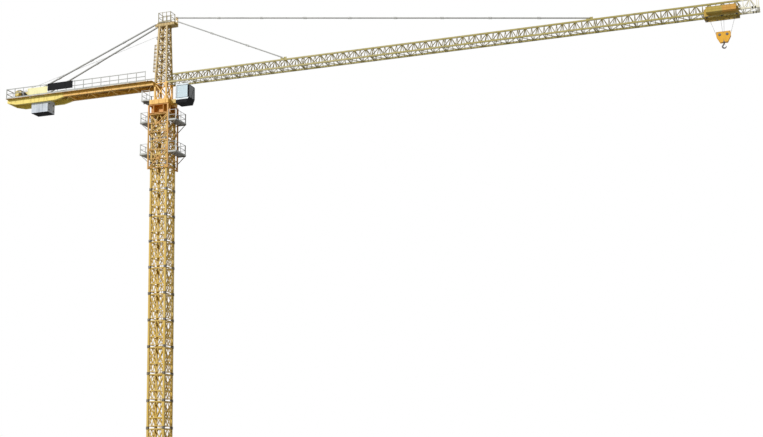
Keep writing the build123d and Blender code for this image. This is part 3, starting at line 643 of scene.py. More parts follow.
class Shape:
    """A mesh in the making, with the few forms that the fittings need."""

    def __init__(self) -> None:
        """Start with an empty mesh."""
        self.mesh = bmesh.new()

    def box(self, first: Triple, second: Triple) -> None:
        """Add a block between two opposite corners.

        Args:
            first: One corner.
            second: The corner opposite to it.
        """
        size = [abs(b - a) for a, b in zip(first, second)]
        middle = [(a + b) / 2 for a, b in zip(first, second)]
        bmesh.ops.create_cube(self.mesh, size=1.0,
                              matrix=Matrix.Translation(middle) @ Matrix.Diagonal((*size, 1.0)))

    def bar(self, start: Triple, end: Triple, width: float, depth: float, normal: Triple) -> None:
        """Add a flat or square bar from point to point.

        Args:
            start: First end of its middle line.
            end: Second end of its middle line.
            width: Size across the normal.
            depth: Size along the normal.
            normal: Direction of the depth.
        """
        a, b = Vector(start), Vector(end)
        run = (b - a).normalized()
        deep = Vector(normal) - run * run.dot(Vector(normal))
        deep.normalize()
        wide = run.cross(deep)
        turn = Matrix((wide, deep, run)).transposed().to_4x4()
        size = Matrix.Diagonal((width, depth, (b - a).length, 1.0))
        bmesh.ops.create_cube(self.mesh, size=1.0, matrix=Matrix.Translation((a + b) / 2) @ turn @ size)

    def rod(self, start: Triple, end: Triple, radius: float, sides: int) -> None:
        """Add a round bar from point to point.

        Args:
            start: First end of its axis.
            end: Second end of its axis.
            radius: Its radius.
            sides: Number of faces round it.
        """
        a, b = Vector(start), Vector(end)
        turn = (b - a).to_track_quat("Z", "Y").to_matrix().to_4x4()
        bmesh.ops.create_cone(self.mesh, cap_ends=True, segments=sides, radius1=radius, radius2=radius,
                              depth=(b - a).length, matrix=Matrix.Translation((a + b) / 2) @ turn)

    def lathe(self, centre: Triple, axis: Triple, profile: Sequence[Pair], steps: int,
              closed: bool = False) -> None:
        """Spin a profile round an axis.

        Args:
            centre: A point on the axis.
            axis: Direction of the axis.
            profile: Radius and place along the axis of each point, from one pole to the other.
            steps: Number of faces round the axis.
            closed: Whether the profile's last point joins its first.
        """
        along = Vector(axis).normalized()
        out = along.orthogonal().normalized()
        spots = [self.mesh.verts.new(Vector(centre) + out * r + along * t) for r, t in profile]
        pairs = list(zip(spots, spots[1:])) + ([(spots[-1], spots[0])] if closed else [])
        edges = [self.mesh.edges.new(pair) for pair in pairs]
        bmesh.ops.spin(self.mesh, geom=spots + edges, cent=centre, axis=along, dvec=(0.0, 0.0, 0.0),
                       angle=2 * math.pi, steps=steps, use_merge=True)
        bmesh.ops.remove_doubles(self.mesh, verts=self.mesh.verts[:], dist=1e-6)
        bmesh.ops.recalc_face_normals(self.mesh, faces=self.mesh.faces[:])

    def sheave(self, centre: Triple, groove: float, width: float, lip: float = 0.012) -> None:
        """Add a dished rope sheave with its axle along Y.

        Args:
            centre: Its middle.
            groove: Radius at the bottom of the rope groove.
            width: Width over the rims.
            lip: Height of the rims over the groove.
        """
        side = width / 2
        rim = groove + lip
        half = [(0.0, side), (0.24 * groove, side), (0.28 * groove, 0.5 * side), (0.72 * groove, 0.36 * side),
                (0.8 * groove, 0.9 * side), (0.97 * rim, side), (rim, 0.84 * side), (groove, 0.3 * side)]
        self.lathe(centre, ALONG_Y, half + [(r, -t) for r, t in reversed(half)], 40)

    def ring(self, centre: Triple, axis: Triple, radius: float, tube: float, steps: int) -> None:
        """Add a round ring.

        Args:
            centre: Its middle.
            axis: Direction of its axis.
            radius: Radius of its middle line.
            tube: Radius of its section.
            steps: Number of faces round the axis.
        """
        facets = 8
        turns = [2 * math.pi * i / facets for i in range(facets)]
        profile = [(radius + tube * math.cos(t), tube * math.sin(t)) for t in turns]
        self.lathe(centre, axis, profile, steps, closed=True)

    def plate(self, outline: Sequence[Pair], axis: Axis, low: float, high: float) -> None:
        """Add a flat plate of any outline.

        Args:
            outline: Corners, in the two directions beside the axis.
            axis: Direction of its thickness.
            low: Lower face along the axis.
            high: Upper face along the axis.
        """
        order = [i for i in range(3) if i != axis.value]
        spots = []
        for first, second in outline:
            spot = [0.0, 0.0, 0.0]
            spot[axis.value], spot[order[0]], spot[order[1]] = low, first, second
            spots.append(self.mesh.verts.new(spot))
        face = self.mesh.faces.new(spots)
        grown = bmesh.ops.extrude_face_region(self.mesh, geom=[face])["geom"]
        raised = [item for item in grown if isinstance(item, bmesh.types.BMVert)]
        shift = [0.0, 0.0, 0.0]
        shift[axis.value] = high - low
        bmesh.ops.translate(self.mesh, verts=raised, vec=shift)
        around = {f for v in spots + raised for f in v.link_faces}
        bmesh.ops.recalc_face_normals(self.mesh, faces=list(around))

    def soften(self, width: float, segments: int = 1) -> None:
        """Bevel every edge made so far."""
        bmesh.ops.bevel(self.mesh, geom=self.mesh.edges[:], offset=width, segments=segments, profile=0.5,
                        affect="EDGES", material=-1, clamp_overlap=True)

    def piece(self, name: str, body: Body, finish: Finish, replaces: Sequence[str] = (),
              smooth: float | None = None, rides: bool = True) -> bpy.types.Object:
        """Turn the mesh into a piece of the crane.

        Args:
            name: Name of the piece.
            body: Body that it rides on.
            finish: Its finish.
            replaces: Solids that it stands for.
            smooth: Angle in degrees under which edges look round.
            rides: Whether it rides on the body as a whole.

        Returns:
            The finished object.
        """
        data = bpy.data.meshes.new(name)
        self.mesh.to_mesh(data)
        self.mesh.free()
        if smooth is not None:
            data.polygons.foreach_set("use_smooth", [True] * len(data.polygons))
            data.set_sharp_from_angle(angle=math.radians(smooth))
        made = bpy.data.objects.new(name, data)
        bpy.context.scene.collection.objects.link(made)
        data.materials.append(finish.material())
        if rides:
            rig.ride(made, body.value)
        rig.slot(made, finish.slot)
        if replaces:
            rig.replaces(made, *replaces)
        LOG.info("%s: %d faces on %s", name, len(data.polygons), body.value)
        return made


@dataclass
class Studio:
    """Camera, light, floor and pale background."""

    eye: Triple = (29.35, -56.4, 0.55)
    yaw: float = 18.02
    pitch: float = 11.85
    roll: float = -1.26
    focal_pixels: float = 1344.7
    image_width: float = 763.0
    sensor: float = 36.0
    ambient: float = 0.4
    sun: float = 2.95
    sun_from: Triple = (-0.52, -0.82, 0.5)
    sun_spread: float = 8.0
    floor_half: float = 900.0
    floor_drop: float = 0.002

    def build(self) -> None:
        """Set camera, light, floor and background."""
        scene = bpy.context.scene
        scene.view_settings.view_transform = "Standard"
        scene.camera = self._camera()
        self._sun()
        scene.world = self._background()
        self._floor()

    def _camera(self) -> bpy.types.Object:
        """Place the camera at the viewing angle.

        Returns:
            The camera.
        """
        data = bpy.data.cameras.new("camera")
        data.sensor_width = self.sensor
        data.lens = self.focal_pixels / self.image_width * self.sensor
        data.clip_start = 0.1
        data.clip_end = 600.0
        yaw, pitch, roll = (math.radians(a) for a in (self.yaw, self.pitch, self.roll))
        ahead = Vector((-math.sin(yaw) * math.cos(pitch), math.cos(yaw) * math.cos(pitch), math.sin(pitch)))
        right = Vector((math.cos(yaw), math.sin(yaw), 0.0))
        above = right.cross(ahead)
        side = right * math.cos(roll) + above * math.sin(roll)
        crown = above * math.cos(roll) - right * math.sin(roll)
        turn = Matrix((side, crown, -ahead)).transposed().to_4x4()
        camera = bpy.data.objects.new("camera", data)
        camera.matrix_world = Matrix.Translation(self.eye) @ turn
        bpy.context.scene.collection.objects.link(camera)
        return camera

    def _sun(self) -> None:
        """Add one broad lamp."""
        data = bpy.data.lights.new("sun_key", "SUN")
        data.energy = self.sun
        data.angle = math.radians(self.sun_spread)
        lamp = bpy.data.objects.new("sun_key", data)
        lamp.matrix_world = Vector(self.sun_from).to_track_quat("Z", "Y").to_matrix().to_4x4()
        bpy.context.scene.collection.objects.link(lamp)

    def _background(self) -> bpy.types.World:
        """White behind the crane, softer light on it.

        Returns:
            The background.
        """
        world = bpy.data.worlds.new("pale_sky")
        world.use_nodes = True
        graph = Graph(world.node_tree)
        seen = graph.node("ShaderNodeBackground", None, {"Color": (1.0, 1.0, 1.0, 1.0), "Strength": 1.0})
        light = graph.node("ShaderNodeBackground", None,
                           {"Color": (0.93, 0.96, 1.0, 1.0), "Strength": self.ambient})
        share = graph.ray_share("Is Camera Ray", "Is Glossy Ray", "Is Transmission Ray")
        both = graph.node("ShaderNodeMixShader", None, {
            0: share, 1: Signal(graph, light.outputs[0]), 2: Signal(graph, seen.outputs[0])})
        graph.node("ShaderNodeOutputWorld", None, {"Surface": Signal(graph, both.outputs[0])})
        return world

    def _floor(self) -> None:
        """Lay a plain pale floor under the crane."""
        mesh = bmesh.new()
        bmesh.ops.create_grid(mesh, x_segments=1, y_segments=1, size=self.floor_half,
                              matrix=Matrix.Translation((0.0, 0.0, -self.floor_drop)))
        data = bpy.data.meshes.new("floor")
        mesh.to_mesh(data)
        mesh.free()
        graph = MaterialGraph("floor_pale")
        cloud = graph.noise(0.4, 4.0)
        tint = graph.mix(cloud * 0.3, (234, 234, 232), (226, 226, 224))
        tint = graph.mix(graph.ray_share("Is Camera Ray"), (186, 186, 184), tint)
        data.materials.append(graph.surface({"Base Color": tint, "Roughness": 0.9}))
        floor = bpy.data.objects.new("floor", data)
        bpy.context.scene.collection.objects.link(floor)
        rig.stage(floor)


@dataclass
class SolidFinishes:
    """Finishes of the solids that show as they are."""

    def dress(self) -> None:
        """Give each solid its finish."""
        for finish, names in self._plan().items():
            for name in names:
                for slot in frame["nodes"][name].material_slots:
                    slot.material = finish.material()
                LOG.info("%s: %s", name, finish.name)

    @staticmethod
    def _plan() -> dict[Finish, tuple[str, ...]]:
        """Finish of each solid.

        Returns:
            The solids' names by finish.
        """
        return {
            Coat.MAST: ("cross_base", "mast_sections_odd", "mast_sections_even", "cab_beams"),
            Coat.CAGE: ("climbing_cage",),
            Coat.SUPPORT: ("lower_slewing_support",),
            Coat.SLEW: ("upper_slewing_support", "slewing_column"),
            Coat.HEAD: ("tower_head", "head_cap"),
            Coat.JIB: ("jib_sections_odd", "jib_sections_even", "jib_end_frame"),
            Coat.COUNTER: ("counter_jib_beams", "counter_jib_cross_beams"),
            Coat.WINCH: ("hoist_winch",),
            Coat.TROLLEY: ("trolley_frame",),
            Coat.BASKET: ("trolley_basket",),
            Coat.BLOCK: ("hook_block",),
            Coat.RAIL: ("cage_railings", "balcony_railing", "counter_jib_railings"),
            Coat.HEAD_RAIL: ("head_railing",),
            Coat.TIE: ("outer_jib_tie", "inner_jib_tie", "counter_jib_ties"),
            Coat.PLANK: ("cage_walkways", "slewing_balcony", "head_platform"),
            Coat.DECK: ("counter_jib_deck",),
            Coat.DARK: ("slewing_ring_lower", "slewing_ring_upper"),
            Coat.STONE: ("counterweights",),
            Coat.BLACK: ("bare_board",),
            Coat.CAB: ("cab_body",),
            Coat.GLASS: ("cab_windows",),
        }


@dataclass
class Base:
    """Fittings of the cross base: anchor bolts and collars on the leg sockets."""

    near: float = 0.505
    far: float = 0.695
    plate: float = 0.024
    bolt: float = 0.0105
    bolt_rise: float = 0.05
    washer: float = 0.006
    nut: float = 0.021
    nut_height: float = 0.018
    leg: float = 0.4
    collar: float = 0.082
    collar_half: float = 0.03
    height: float = 0.3

    def dress(self) -> None:
        """Add all fittings of the base."""
        self._anchors()
        self._collars()

    def _anchors(self) -> None:
        """Bolt, washer and nut in each anchor hole."""
        shape = Shape()
        top = self.plate + self.washer
        for across, along in ((self.far, self.near), (self.near, self.far)):
            for x in (-across, across):
                for y in (-along, along):
                    shape.rod((x, y, 0.001), (x, y, self.plate + self.bolt_rise), self.bolt, 10)
                    shape.rod((x, y, self.plate), (x, y, top), self.nut * 1.3, 16)
                    shape.rod((x, y, top), (x, y, top + self.nut_height), self.nut, 6)
        shape.piece("anchor_bolts", Body.MAST, Coat.DARK)

    def _collars(self) -> None:
        """Collars where the first mast section stands in the sockets."""
        shape = Shape()
        for x in (-self.leg, self.leg):
            for y in (-self.leg, self.leg):
                shape.box((x - self.collar, y - self.collar, self.height - self.collar_half),
                          (x + self.collar, y + self.collar, self.height + self.collar_half))
        shape.soften(0.005)
        shape.piece("leg_socket_collars", Body.MAST, Coat.SLEEVE)


@dataclass
class Mast:
    """Fittings of the mast: chord sleeves, gusset plates, fine bracing and the inner ladder."""

    pitch: float = 0.8
    chord: float = 0.09
    foot: float = 0.3
    section: float = 1.25
    sections: int = 15
    sill: float = 0.46
    end_inset: float = 0.05
    sleeve_side: float = 0.118
    sleeve_height: float = 0.13
    bolt: float = 0.012
    bolt_step: float = 0.03
    gusset: float = 0.008
    lace: float = 0.034
    thin: float = 0.03
    knee: float = 0.17
    split: float = 0.024
    foot_rail: float = 0.09
    ladder_width: float = 0.2
    ladder_inset: float = 0.16
    stile: Pair = (0.012, 0.006)
    rung: float = 0.007
    rung_step: float = 0.14

    def dress(self) -> None:
        """Add all fittings of the mast."""
        self._sleeves()
        self._gussets()
        self._bracing()
        self._ladder()

    def _sleeves(self) -> None:
        """Sleeves and bolts where the chords of two sections meet."""
        shape, bolts = Shape(), Shape()
        line, half = self.pitch / 2, self.sleeve_side / 2
        reach = half + self.bolt * 0.6
        corners = [(x, y) for x in (-line, line) for y in (-line, line)]
        for i in range(1, self.sections):
            middle = self.foot + self.section * i
            low, high = middle - self.sleeve_height / 2, middle + self.sleeve_height / 2
            for x, y in corners:
                shape.box((x - half, y - half, low), (x + half, y + half, high))
                for z in (middle - self.bolt_step, middle + self.bolt_step):
                    bolts.rod((x - reach, y, z), (x + reach, y, z), self.bolt, 6)
                    bolts.rod((x, y - reach, z), (x, y + reach, z), self.bolt, 6)
        shape.soften(0.004)
        shape.piece("mast_chord_sleeves", Body.MAST, Coat.SLEEVE)
        bolts.piece("mast_joint_bolts", Body.MAST, Coat.BRIGHT)

    def _gussets(self) -> None:
        """Plates where the bracing meets rails and chords."""
        shape = Shape()
        half = self.pitch / 2
        face = half - self.chord / 2
        for i in range(self.sections):
            sill = self.foot + self.section * i + self.sill
            high = self.foot + self.section * (i + 1) - self.end_inset
            for side in (-1, 1):
                low, top = side * half - self.gusset / 2, side * half + self.gusset / 2
                wide = [(-0.11, sill), (0.11, sill), (0.06, sill + 0.1), (-0.06, sill + 0.1)]
                for axis in (Axis.X, Axis.Y):
                    shape.plate(wide, axis, low, top)
                    for end in (-1, 1):
                        corner = [(end * face, high), (end * (face - 0.1), high), (end * face, high - 0.19)]
                        shape.plate(corner, axis, low, top)
        shape.piece("mast_gusset_plates", Body.MAST, Coat.MAST)

    def _bracing(self) -> None:
        """Second diagonals over the sill, a foot rail and a W under it, and a cross in plan at each joint."""
        shape = Shape()
        half = self.pitch / 2
        face = half - self.chord / 2
        for i in range(self.sections):
            level = self.foot + self.section * i
            sill, high = level + self.sill, level + self.section - self.end_inset
            rail = level + self.foot_rail
            runs = [((-face, rail), (face, rail), self.lace)]
            for end in (-1, 1):
                corner, split = end * face, end * self.split
                inner, outer = end * (self.knee - self.split / 2), end * (self.knee + self.split / 2)
                runs += [((corner, sill), (split, high), self.thin),
                         ((corner, rail), (outer, sill), self.thin),
                         ((split, rail), (inner, sill), self.thin)]
            for at in (-half, half):
                for (near, low), (far, top), depth in runs:
                    shape.bar((near, at, low), (far, at, top), self.lace, depth, ALONG_Y)
                    shape.bar((at, near, low), (at, far, top), self.lace, depth, ALONG_X)
            for end, depth in ((-1, self.lace), (1, self.thin)):
                shape.bar((-face, -end * face, high), (face, end * face, high), self.lace, depth, ALONG_Z)
        shape.piece("mast_fine_bracing", Body.MAST, Coat.MAST)

    def _ladder(self) -> None:
        """Ladder inside the mast, on the side away from the cab."""
        shape = Shape()
        low, high = self.foot, self.foot + self.section * self.sections
        y = self.pitch / 2 - self.ladder_inset
        half = self.ladder_width / 2
        wide, deep = self.stile
        for x in (-half, half):
            shape.box((x - wide, y - deep, low), (x + wide, y + deep, high))
        count = int((high - low) / self.rung_step)
        for i in range(1, count):
            z = low + i * self.rung_step
            shape.rod((-half, y, z), (half, y, z), self.rung, 6)
        for i in range(self.sections):
            z = self.foot + self.section * (i + 1) - self.end_inset
            for x in (-half, half):
                shape.box((x - 0.008, y, z - 0.01), (x + 0.008, self.pitch / 2 - 0.016, z + 0.01))
        shape.piece("mast_ladder", Body.MAST, Coat.MAST)


@dataclass
class Cage:
    """Fittings of the climbing cage: cross bracing, walkway brackets, toe boards and guide rollers."""

    half: float = 0.545
    chord: float = 0.06
    foot: float = 16.3
    height: float = 2.75
    bays: int = 3
    end_inset: float = 0.05
    lace: float = 0.026
    thin: float = 0.022
    levels: Pair = (17.03, 18.6)
    walk: float = 0.42
    plank: float = 0.022
    toe: float = 0.06
    board: float = 0.006
    joist: float = 0.03
    strut: float = 0.026
    strut_drop: float = 0.36
    roller: float = 0.019
    roller_half: float = 0.03
    roller_step: float = 0.05
    mast_chord: float = 0.4
    mast_face: float = 0.445

    def dress(self) -> None:
        """Add all fittings of the cage."""
        self._bracing()
        self._brackets()
        self._toe_boards()
        self._rollers()

    def _bracing(self) -> None:
        """Second diagonals and middle rails on all four sides."""
        shape = Shape()
        line = self.half - self.chord / 2
        reach = line - self.chord / 2
        step = (self.height - 2 * self.end_inset) / self.bays
        for i in range(self.bays):
            low = self.foot + self.end_inset + i * step
            high, middle = low + step, low + step / 2
            turn = -reach if i % 2 == 0 else reach
            for at in (-line, line):
                shape.bar((-turn, at, low), (turn, at, high), self.lace, self.lace, ALONG_Y)
                shape.bar((at, -turn, low), (at, turn, high), self.lace, self.lace, ALONG_X)
                shape.bar((-reach, at, middle), (reach, at, middle), self.lace, self.thin, ALONG_Y)
                shape.bar((at, -reach, middle), (at, reach, middle), self.lace, self.thin, ALONG_X)
        shape.piece("cage_cross_bracing", Body.MAST, Coat.CAGE)

    def _brackets(self) -> None:
        """Joists and struts under the walkways."""
        shape = Shape()
        outer = self.half + self.walk
        line = self.half - self.chord / 2
        for level in self.levels:
            for side in (-1, 1):
                face = side * self.half
                for y in (-line, line):
                    shape.bar((face, y, level - 0.016), (side * (outer - 0.01), y, level - 0.016),
                              self.joist, self.joist, ALONG_Z)
                    shape.bar((face, y, level - self.strut_drop), (side * (outer - 0.07), y, level - 0.03),
                              self.strut, self.strut, ALONG_Y)
        shape.piece("cage_walkway_brackets", Body.MAST, Coat.SLEEVE)

    def _toe_boards(self) -> None:
        """Boards along the open edges of the walkways."""
        shape = Shape()
        edge = self.half + self.walk - 0.003
        for level in self.levels:
            low, high = level + self.plank, level + self.plank + self.toe
            for side in (-1, 1):
                inner = side * (edge - self.board)
                shape.box((inner, -self.half, low), (side * edge, self.half, high))
                for y in (-self.half, self.half - self.board):
                    shape.box((side * (self.half + 0.01), y, low), (inner, y + self.board, high))
        shape.piece("cage_toe_boards", Body.MAST, Coat.RAIL)

    def _rollers(self) -> None:
        """Rollers that guide the cage on the chords of the mast."""
        shape = Shape()
        at = self.mast_face + self.roller + 0.001
        for z in (self.foot + 0.3, self.foot + self.height - 0.35):
            for side in (-at, at):
                for chord in (-self.mast_chord, self.mast_chord):
                    low, high = chord - self.roller_half, chord + self.roller_half
                    for level in (z - self.roller_step, z + self.roller_step):
                        shape.rod((side, low, level), (side, high, level), self.roller, 14)
                        shape.rod((low, side, level), (high, side, level), self.roller, 14)
        shape.piece("cage_guide_rollers", Body.MAST, Coat.DARK, smooth=50.0)


@dataclass
class Slewing:
    """Fittings of the slewing part: gear teeth, ring bolts, box ribs, toe boards and column gussets."""

    ring: float = 0.43
    ring_level: float = 19.465
    parting: float = 19.49
    upper_level: float = 19.5153
    upper_height: float = 0.225
    upper_half: float = 0.5
    column_half: float = 0.26
    column_line: float = 0.3
    column_height: float = 0.9
    balcony_rear: float = -0.95
    teeth: int = 96
    tooth_reach: float = 0.022
    tooth_width: float = 0.013
    tooth_height: float = 0.021
    bolts: int = 36
    bolt_head: float = 0.014
    lower_circle: float = 0.502
    upper_circle: float = 0.472
    ribs: Triple = (-0.36, 0.0, 0.36)
    rib_half: float = 0.008
    toe: float = 0.06
    board: float = 0.006

    def dress(self) -> None:
        """Add all fittings of the slewing part."""
        self._gear()
        self._ring_bolts()
        self._ribs()
        self._gussets()
        self._balcony()

    @staticmethod
    def _spot(radius: float, share: float, z: float) -> Triple:
        """A point on a level circle round the mast axis, at a share of the full turn."""
        turn = 2 * math.pi * share
        return (radius * math.cos(turn), radius * math.sin(turn), z)

    def _gear(self) -> None:
        """Teeth round the fixed half of the slewing ring."""
        shape = Shape()
        z = (self.ring_level + self.parting) / 2
        for i in range(self.teeth):
            share = i / self.teeth
            shape.bar(self._spot(self.ring - 0.004, share, z),
                      self._spot(self.ring + self.tooth_reach, share, z),
                      self.tooth_width, self.tooth_height, ALONG_Z)
        shape.piece("slewing_gear_teeth", Body.MAST, Coat.DARK)

    def _ring_bolts(self) -> None:
        """Bolt heads that hold both ring halves to their plates."""
        lower, upper = Shape(), Shape()
        low, high = self.ring_level + self.bolt_head, self.upper_level - self.bolt_head
        for i in range(self.bolts):
            share = (i + 0.5) / self.bolts
            lower.rod(self._spot(self.lower_circle, share, self.ring_level),
                      self._spot(self.lower_circle, share, low), 0.012, 6)
            upper.rod(self._spot(self.upper_circle, share, high),
                      self._spot(self.upper_circle, share, self.upper_level), 0.011, 6)
        lower.piece("ring_bolts_lower", Body.MAST, Coat.BRIGHT)
        upper.piece("ring_bolts_upper", Body.UPPER, Coat.BRIGHT)

    def _ribs(self) -> None:
        """Upright ribs on the sides of the upper support."""
        shape = Shape()
        low, high = self.upper_level + 0.02, self.upper_level + self.upper_height - 0.04
        half = self.rib_half
        for side in (-1, 1):
            inner, outer = side * self.upper_half, side * (self.upper_half + 2 * half)
            for at in self.ribs:
                shape.box((at - half, inner, low), (at + half, outer, high))
                shape.box((inner, at - half, low), (outer, at + half, high))
        shape.soften(0.002)
        shape.piece("upper_support_ribs", Body.UPPER, Coat.SLEW)

    def _gussets(self) -> None:
        """Corner plates of the slewing column, at its foot and head."""
        shape = Shape()
        foot = self.upper_level + self.upper_height
        head = foot + self.column_height
        for at in (-self.column_line, self.column_line):
            for end in (-1, 1):
                face = end * self.column_half
                for z, rise in ((foot + 0.02, 0.17), (head - 0.02, -0.17)):
                    outline = [(face, z), (face - end * 0.14, z), (face, z + rise)]
                    shape.plate(outline, Axis.Y, at - 0.006, at + 0.006)
                    shape.plate(outline, Axis.X, at - 0.006, at + 0.006)
        shape.piece("column_gussets", Body.UPPER, Coat.SLEW)

    def _balcony(self) -> None:
        """Toe boards round the balcony."""
        shape = Shape()
        low = self.upper_level + self.upper_height
        inner = self.balcony_rear + self.board
        shape.box((self.balcony_rear, -self.upper_half, low), (inner, self.upper_half, low + self.toe))
        for y in (-self.upper_half, self.upper_half - self.board):
            shape.box((inner, y, low), (-self.upper_half, y + self.board, low + self.toe))
        shape.piece("balcony_toe_boards", Body.UPPER, Coat.RAIL)


@dataclass
class Head:
    """Fittings of the tower head: cross bracing, ladder with hoops, cap ribs, toe boards and the sheave."""

    foot_half: float = 0.3
    top_rear: float = -0.15
    top_front: float = 0.245
    top_half: float = 0.195
    foot: float = 20.6486
    top: float = 23.5383
    lace_start: float = 0.02
    bays: int = 5
    lace: float = 0.03
    ladder_half: float = 0.085
    ladder_middle: float = -0.125
    ladder_gap: float = 0.06
    rungs: int = 20
    hoops: int = 8
    hoop_sides: int = 8
    hoop_reach: float = 0.19
    cap_rear: float = -0.3
    cap_front: float = 0.64
    cap_half: float = 0.23
    cap_low: float = 23.5506
    cap_high: float = 23.7003
    cap_lip: float = 0.012
    cap_ribs: int = 6
    toe: float = 0.05
    board: float = 0.005

    def dress(self) -> None:
        """Add all fittings of the head."""
        self._bracing()
        self._ladder()
        self._hoops()
        self._cap()
        self._sheave()

    def _corner(self, part: float, x_side: float, y_side: float) -> Vector:
        """A point of the tapering head.

        Args:
            part: Share of the height, from foot to top.
            x_side: -1 at the rear, 1 at the front.
            y_side: From -1 on the near side to 1 on the far side.

        Returns:
            The point.
        """
        top_x = self.top_front if x_side > 0 else self.top_rear
        x = x_side * self.foot_half * (1 - part) + top_x * part
        y = y_side * (self.foot_half * (1 - part) + self.top_half * part)
        return Vector((x, y, self.foot + (self.top - self.foot) * part))

    def _bracing(self) -> None:
        """Second diagonals and middle rails on all four sides."""
        shape = Shape()
        corners = [(-1, -1), (1, -1), (1, 1), (-1, 1)]
        span = (1 - self.lace_start) / self.bays
        for a, b in zip(corners, corners[1:] + corners[:1]):
            normal = (float(a[0] + b[0]), float(a[1] + b[1]), 0.0)
            for bay in range(self.bays):
                low = self.lace_start + span * bay
                middle, high = low + span / 2, low + span
                start, end = (b, a) if bay % 2 == 0 else (a, b)
                shape.bar(self._corner(low, *start), self._corner(high, *end), self.lace, self.lace, normal)
                shape.bar(self._corner(middle, *a), self._corner(middle, *b), self.lace, self.lace, normal)
        shape.piece("head_cross_bracing", Body.UPPER, Coat.HEAD)

    def _rear_line(self, part: float) -> Vector:
        """A point on the ladder's middle line, outside the rear face, at a share of the height."""
        return self._corner(part, -1, 0) + Vector((-self.ladder_gap, self.ladder_middle, 0.0))

    def _ladder(self) -> None:
        """Ladder up the outside of the rear face, beside the rope sheave."""
        shape = Shape()
        low, high = self._rear_line(0.03), self._rear_line(0.97)
        for side in (-1, 1):
            shift = Vector((0.0, side * self.ladder_half, 0.0))
            shape.bar(low + shift, high + shift, 0.024, 0.012, ALONG_Y)
        for i in range(1, self.rungs):
            spot = low.lerp(high, i / self.rungs)
            half = Vector((0.0, self.ladder_half, 0.0))
            shape.rod(spot - half, spot + half, 0.008, 6)
        for part in (0.05, 0.35, 0.65, 0.95):
            spot = self._rear_line(part)
            for side in (-1, 1):
                foot = spot + Vector((0.0, side * self.ladder_half, 0.0))
                wall = foot + Vector((self.ladder_gap + 0.02, 0.0, 0.0))
                shape.bar(foot, wall, 0.016, 0.016, ALONG_Z)
        shape.piece("head_ladder", Body.UPPER, Coat.HEAD)

    def _hoops(self) -> None:
        """Safety hoops round the ladder, tied by upright strips."""
        shape = Shape()
        low, high = 0.22, 0.68
        turns = [math.pi * (0.5 + i / self.hoop_sides) for i in range(self.hoop_sides + 1)]
        bend = [Vector((math.cos(t) * self.hoop_reach, math.sin(t) * self.ladder_half, 0.0)) for t in turns]
        for i in range(self.hoops):
            middle = self._rear_line(low + (high - low) * i / (self.hoops - 1))
            for a, b in zip(bend, bend[1:]):
                shape.bar(middle + a, middle + b, 0.03, 0.006, (b - a).cross(Vector(ALONG_Z)))
        for shift in bend[1:-1:2]:
            shape.bar(self._rear_line(low) + shift, self._rear_line(high) + shift, 0.024, 0.006, shift)
        shape.piece("head_ladder_hoops", Body.UPPER, Coat.HEAD)

    def _cap(self) -> None:
        """Flanges and ribs of the cap beam, and toe boards of the platform."""
        shape = Shape()
        lip = self.cap_lip
        for side in (-1, 1):
            inner, outer = side * self.cap_half, side * (self.cap_half + lip)
            for z in (self.cap_low, self.cap_high - lip):
                shape.box((self.cap_rear, inner, z), (self.cap_front, outer, z + lip))
            for i in range(self.cap_ribs):
                x = self.cap_rear + (self.cap_front - self.cap_rear) * (i + 0.5) / self.cap_ribs
                shape.box((x - 0.005, inner, self.cap_low + lip), (x + 0.005, outer, self.cap_high - lip))
        shape.piece("head_cap_ribs", Body.UPPER, Coat.HEAD)
        boards = Shape()
        low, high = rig.box("head_platform")
        floor, top = high[2], high[2] + self.toe
        for y in (low[1], high[1] - self.board):
            boards.box((low[0], y, floor), (high[0], y + self.board, top))
        for x in (low[0], high[0] - self.board):
            boards.box((x, low[1] + self.board, floor), (x + self.board, high[1] - self.board, top))
        boards.piece("head_toe_boards", Body.UPPER, Coat.HEAD_RAIL)

    @staticmethod
    def _sheave() -> None:
        """Grooved rope sheave on the rear face."""
        low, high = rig.box("head_sheave")
        middle = tuple((a + b) / 2 for a, b in zip(low, high))
        shape = Shape()
        shape.sheave(middle, (high[2] - low[2]) / 2, high[1] - low[1], 0.006)
        shape.piece("head_rope_sheave", Body.UPPER, Coat.DARK, replaces=("head_sheave",), smooth=35.0)


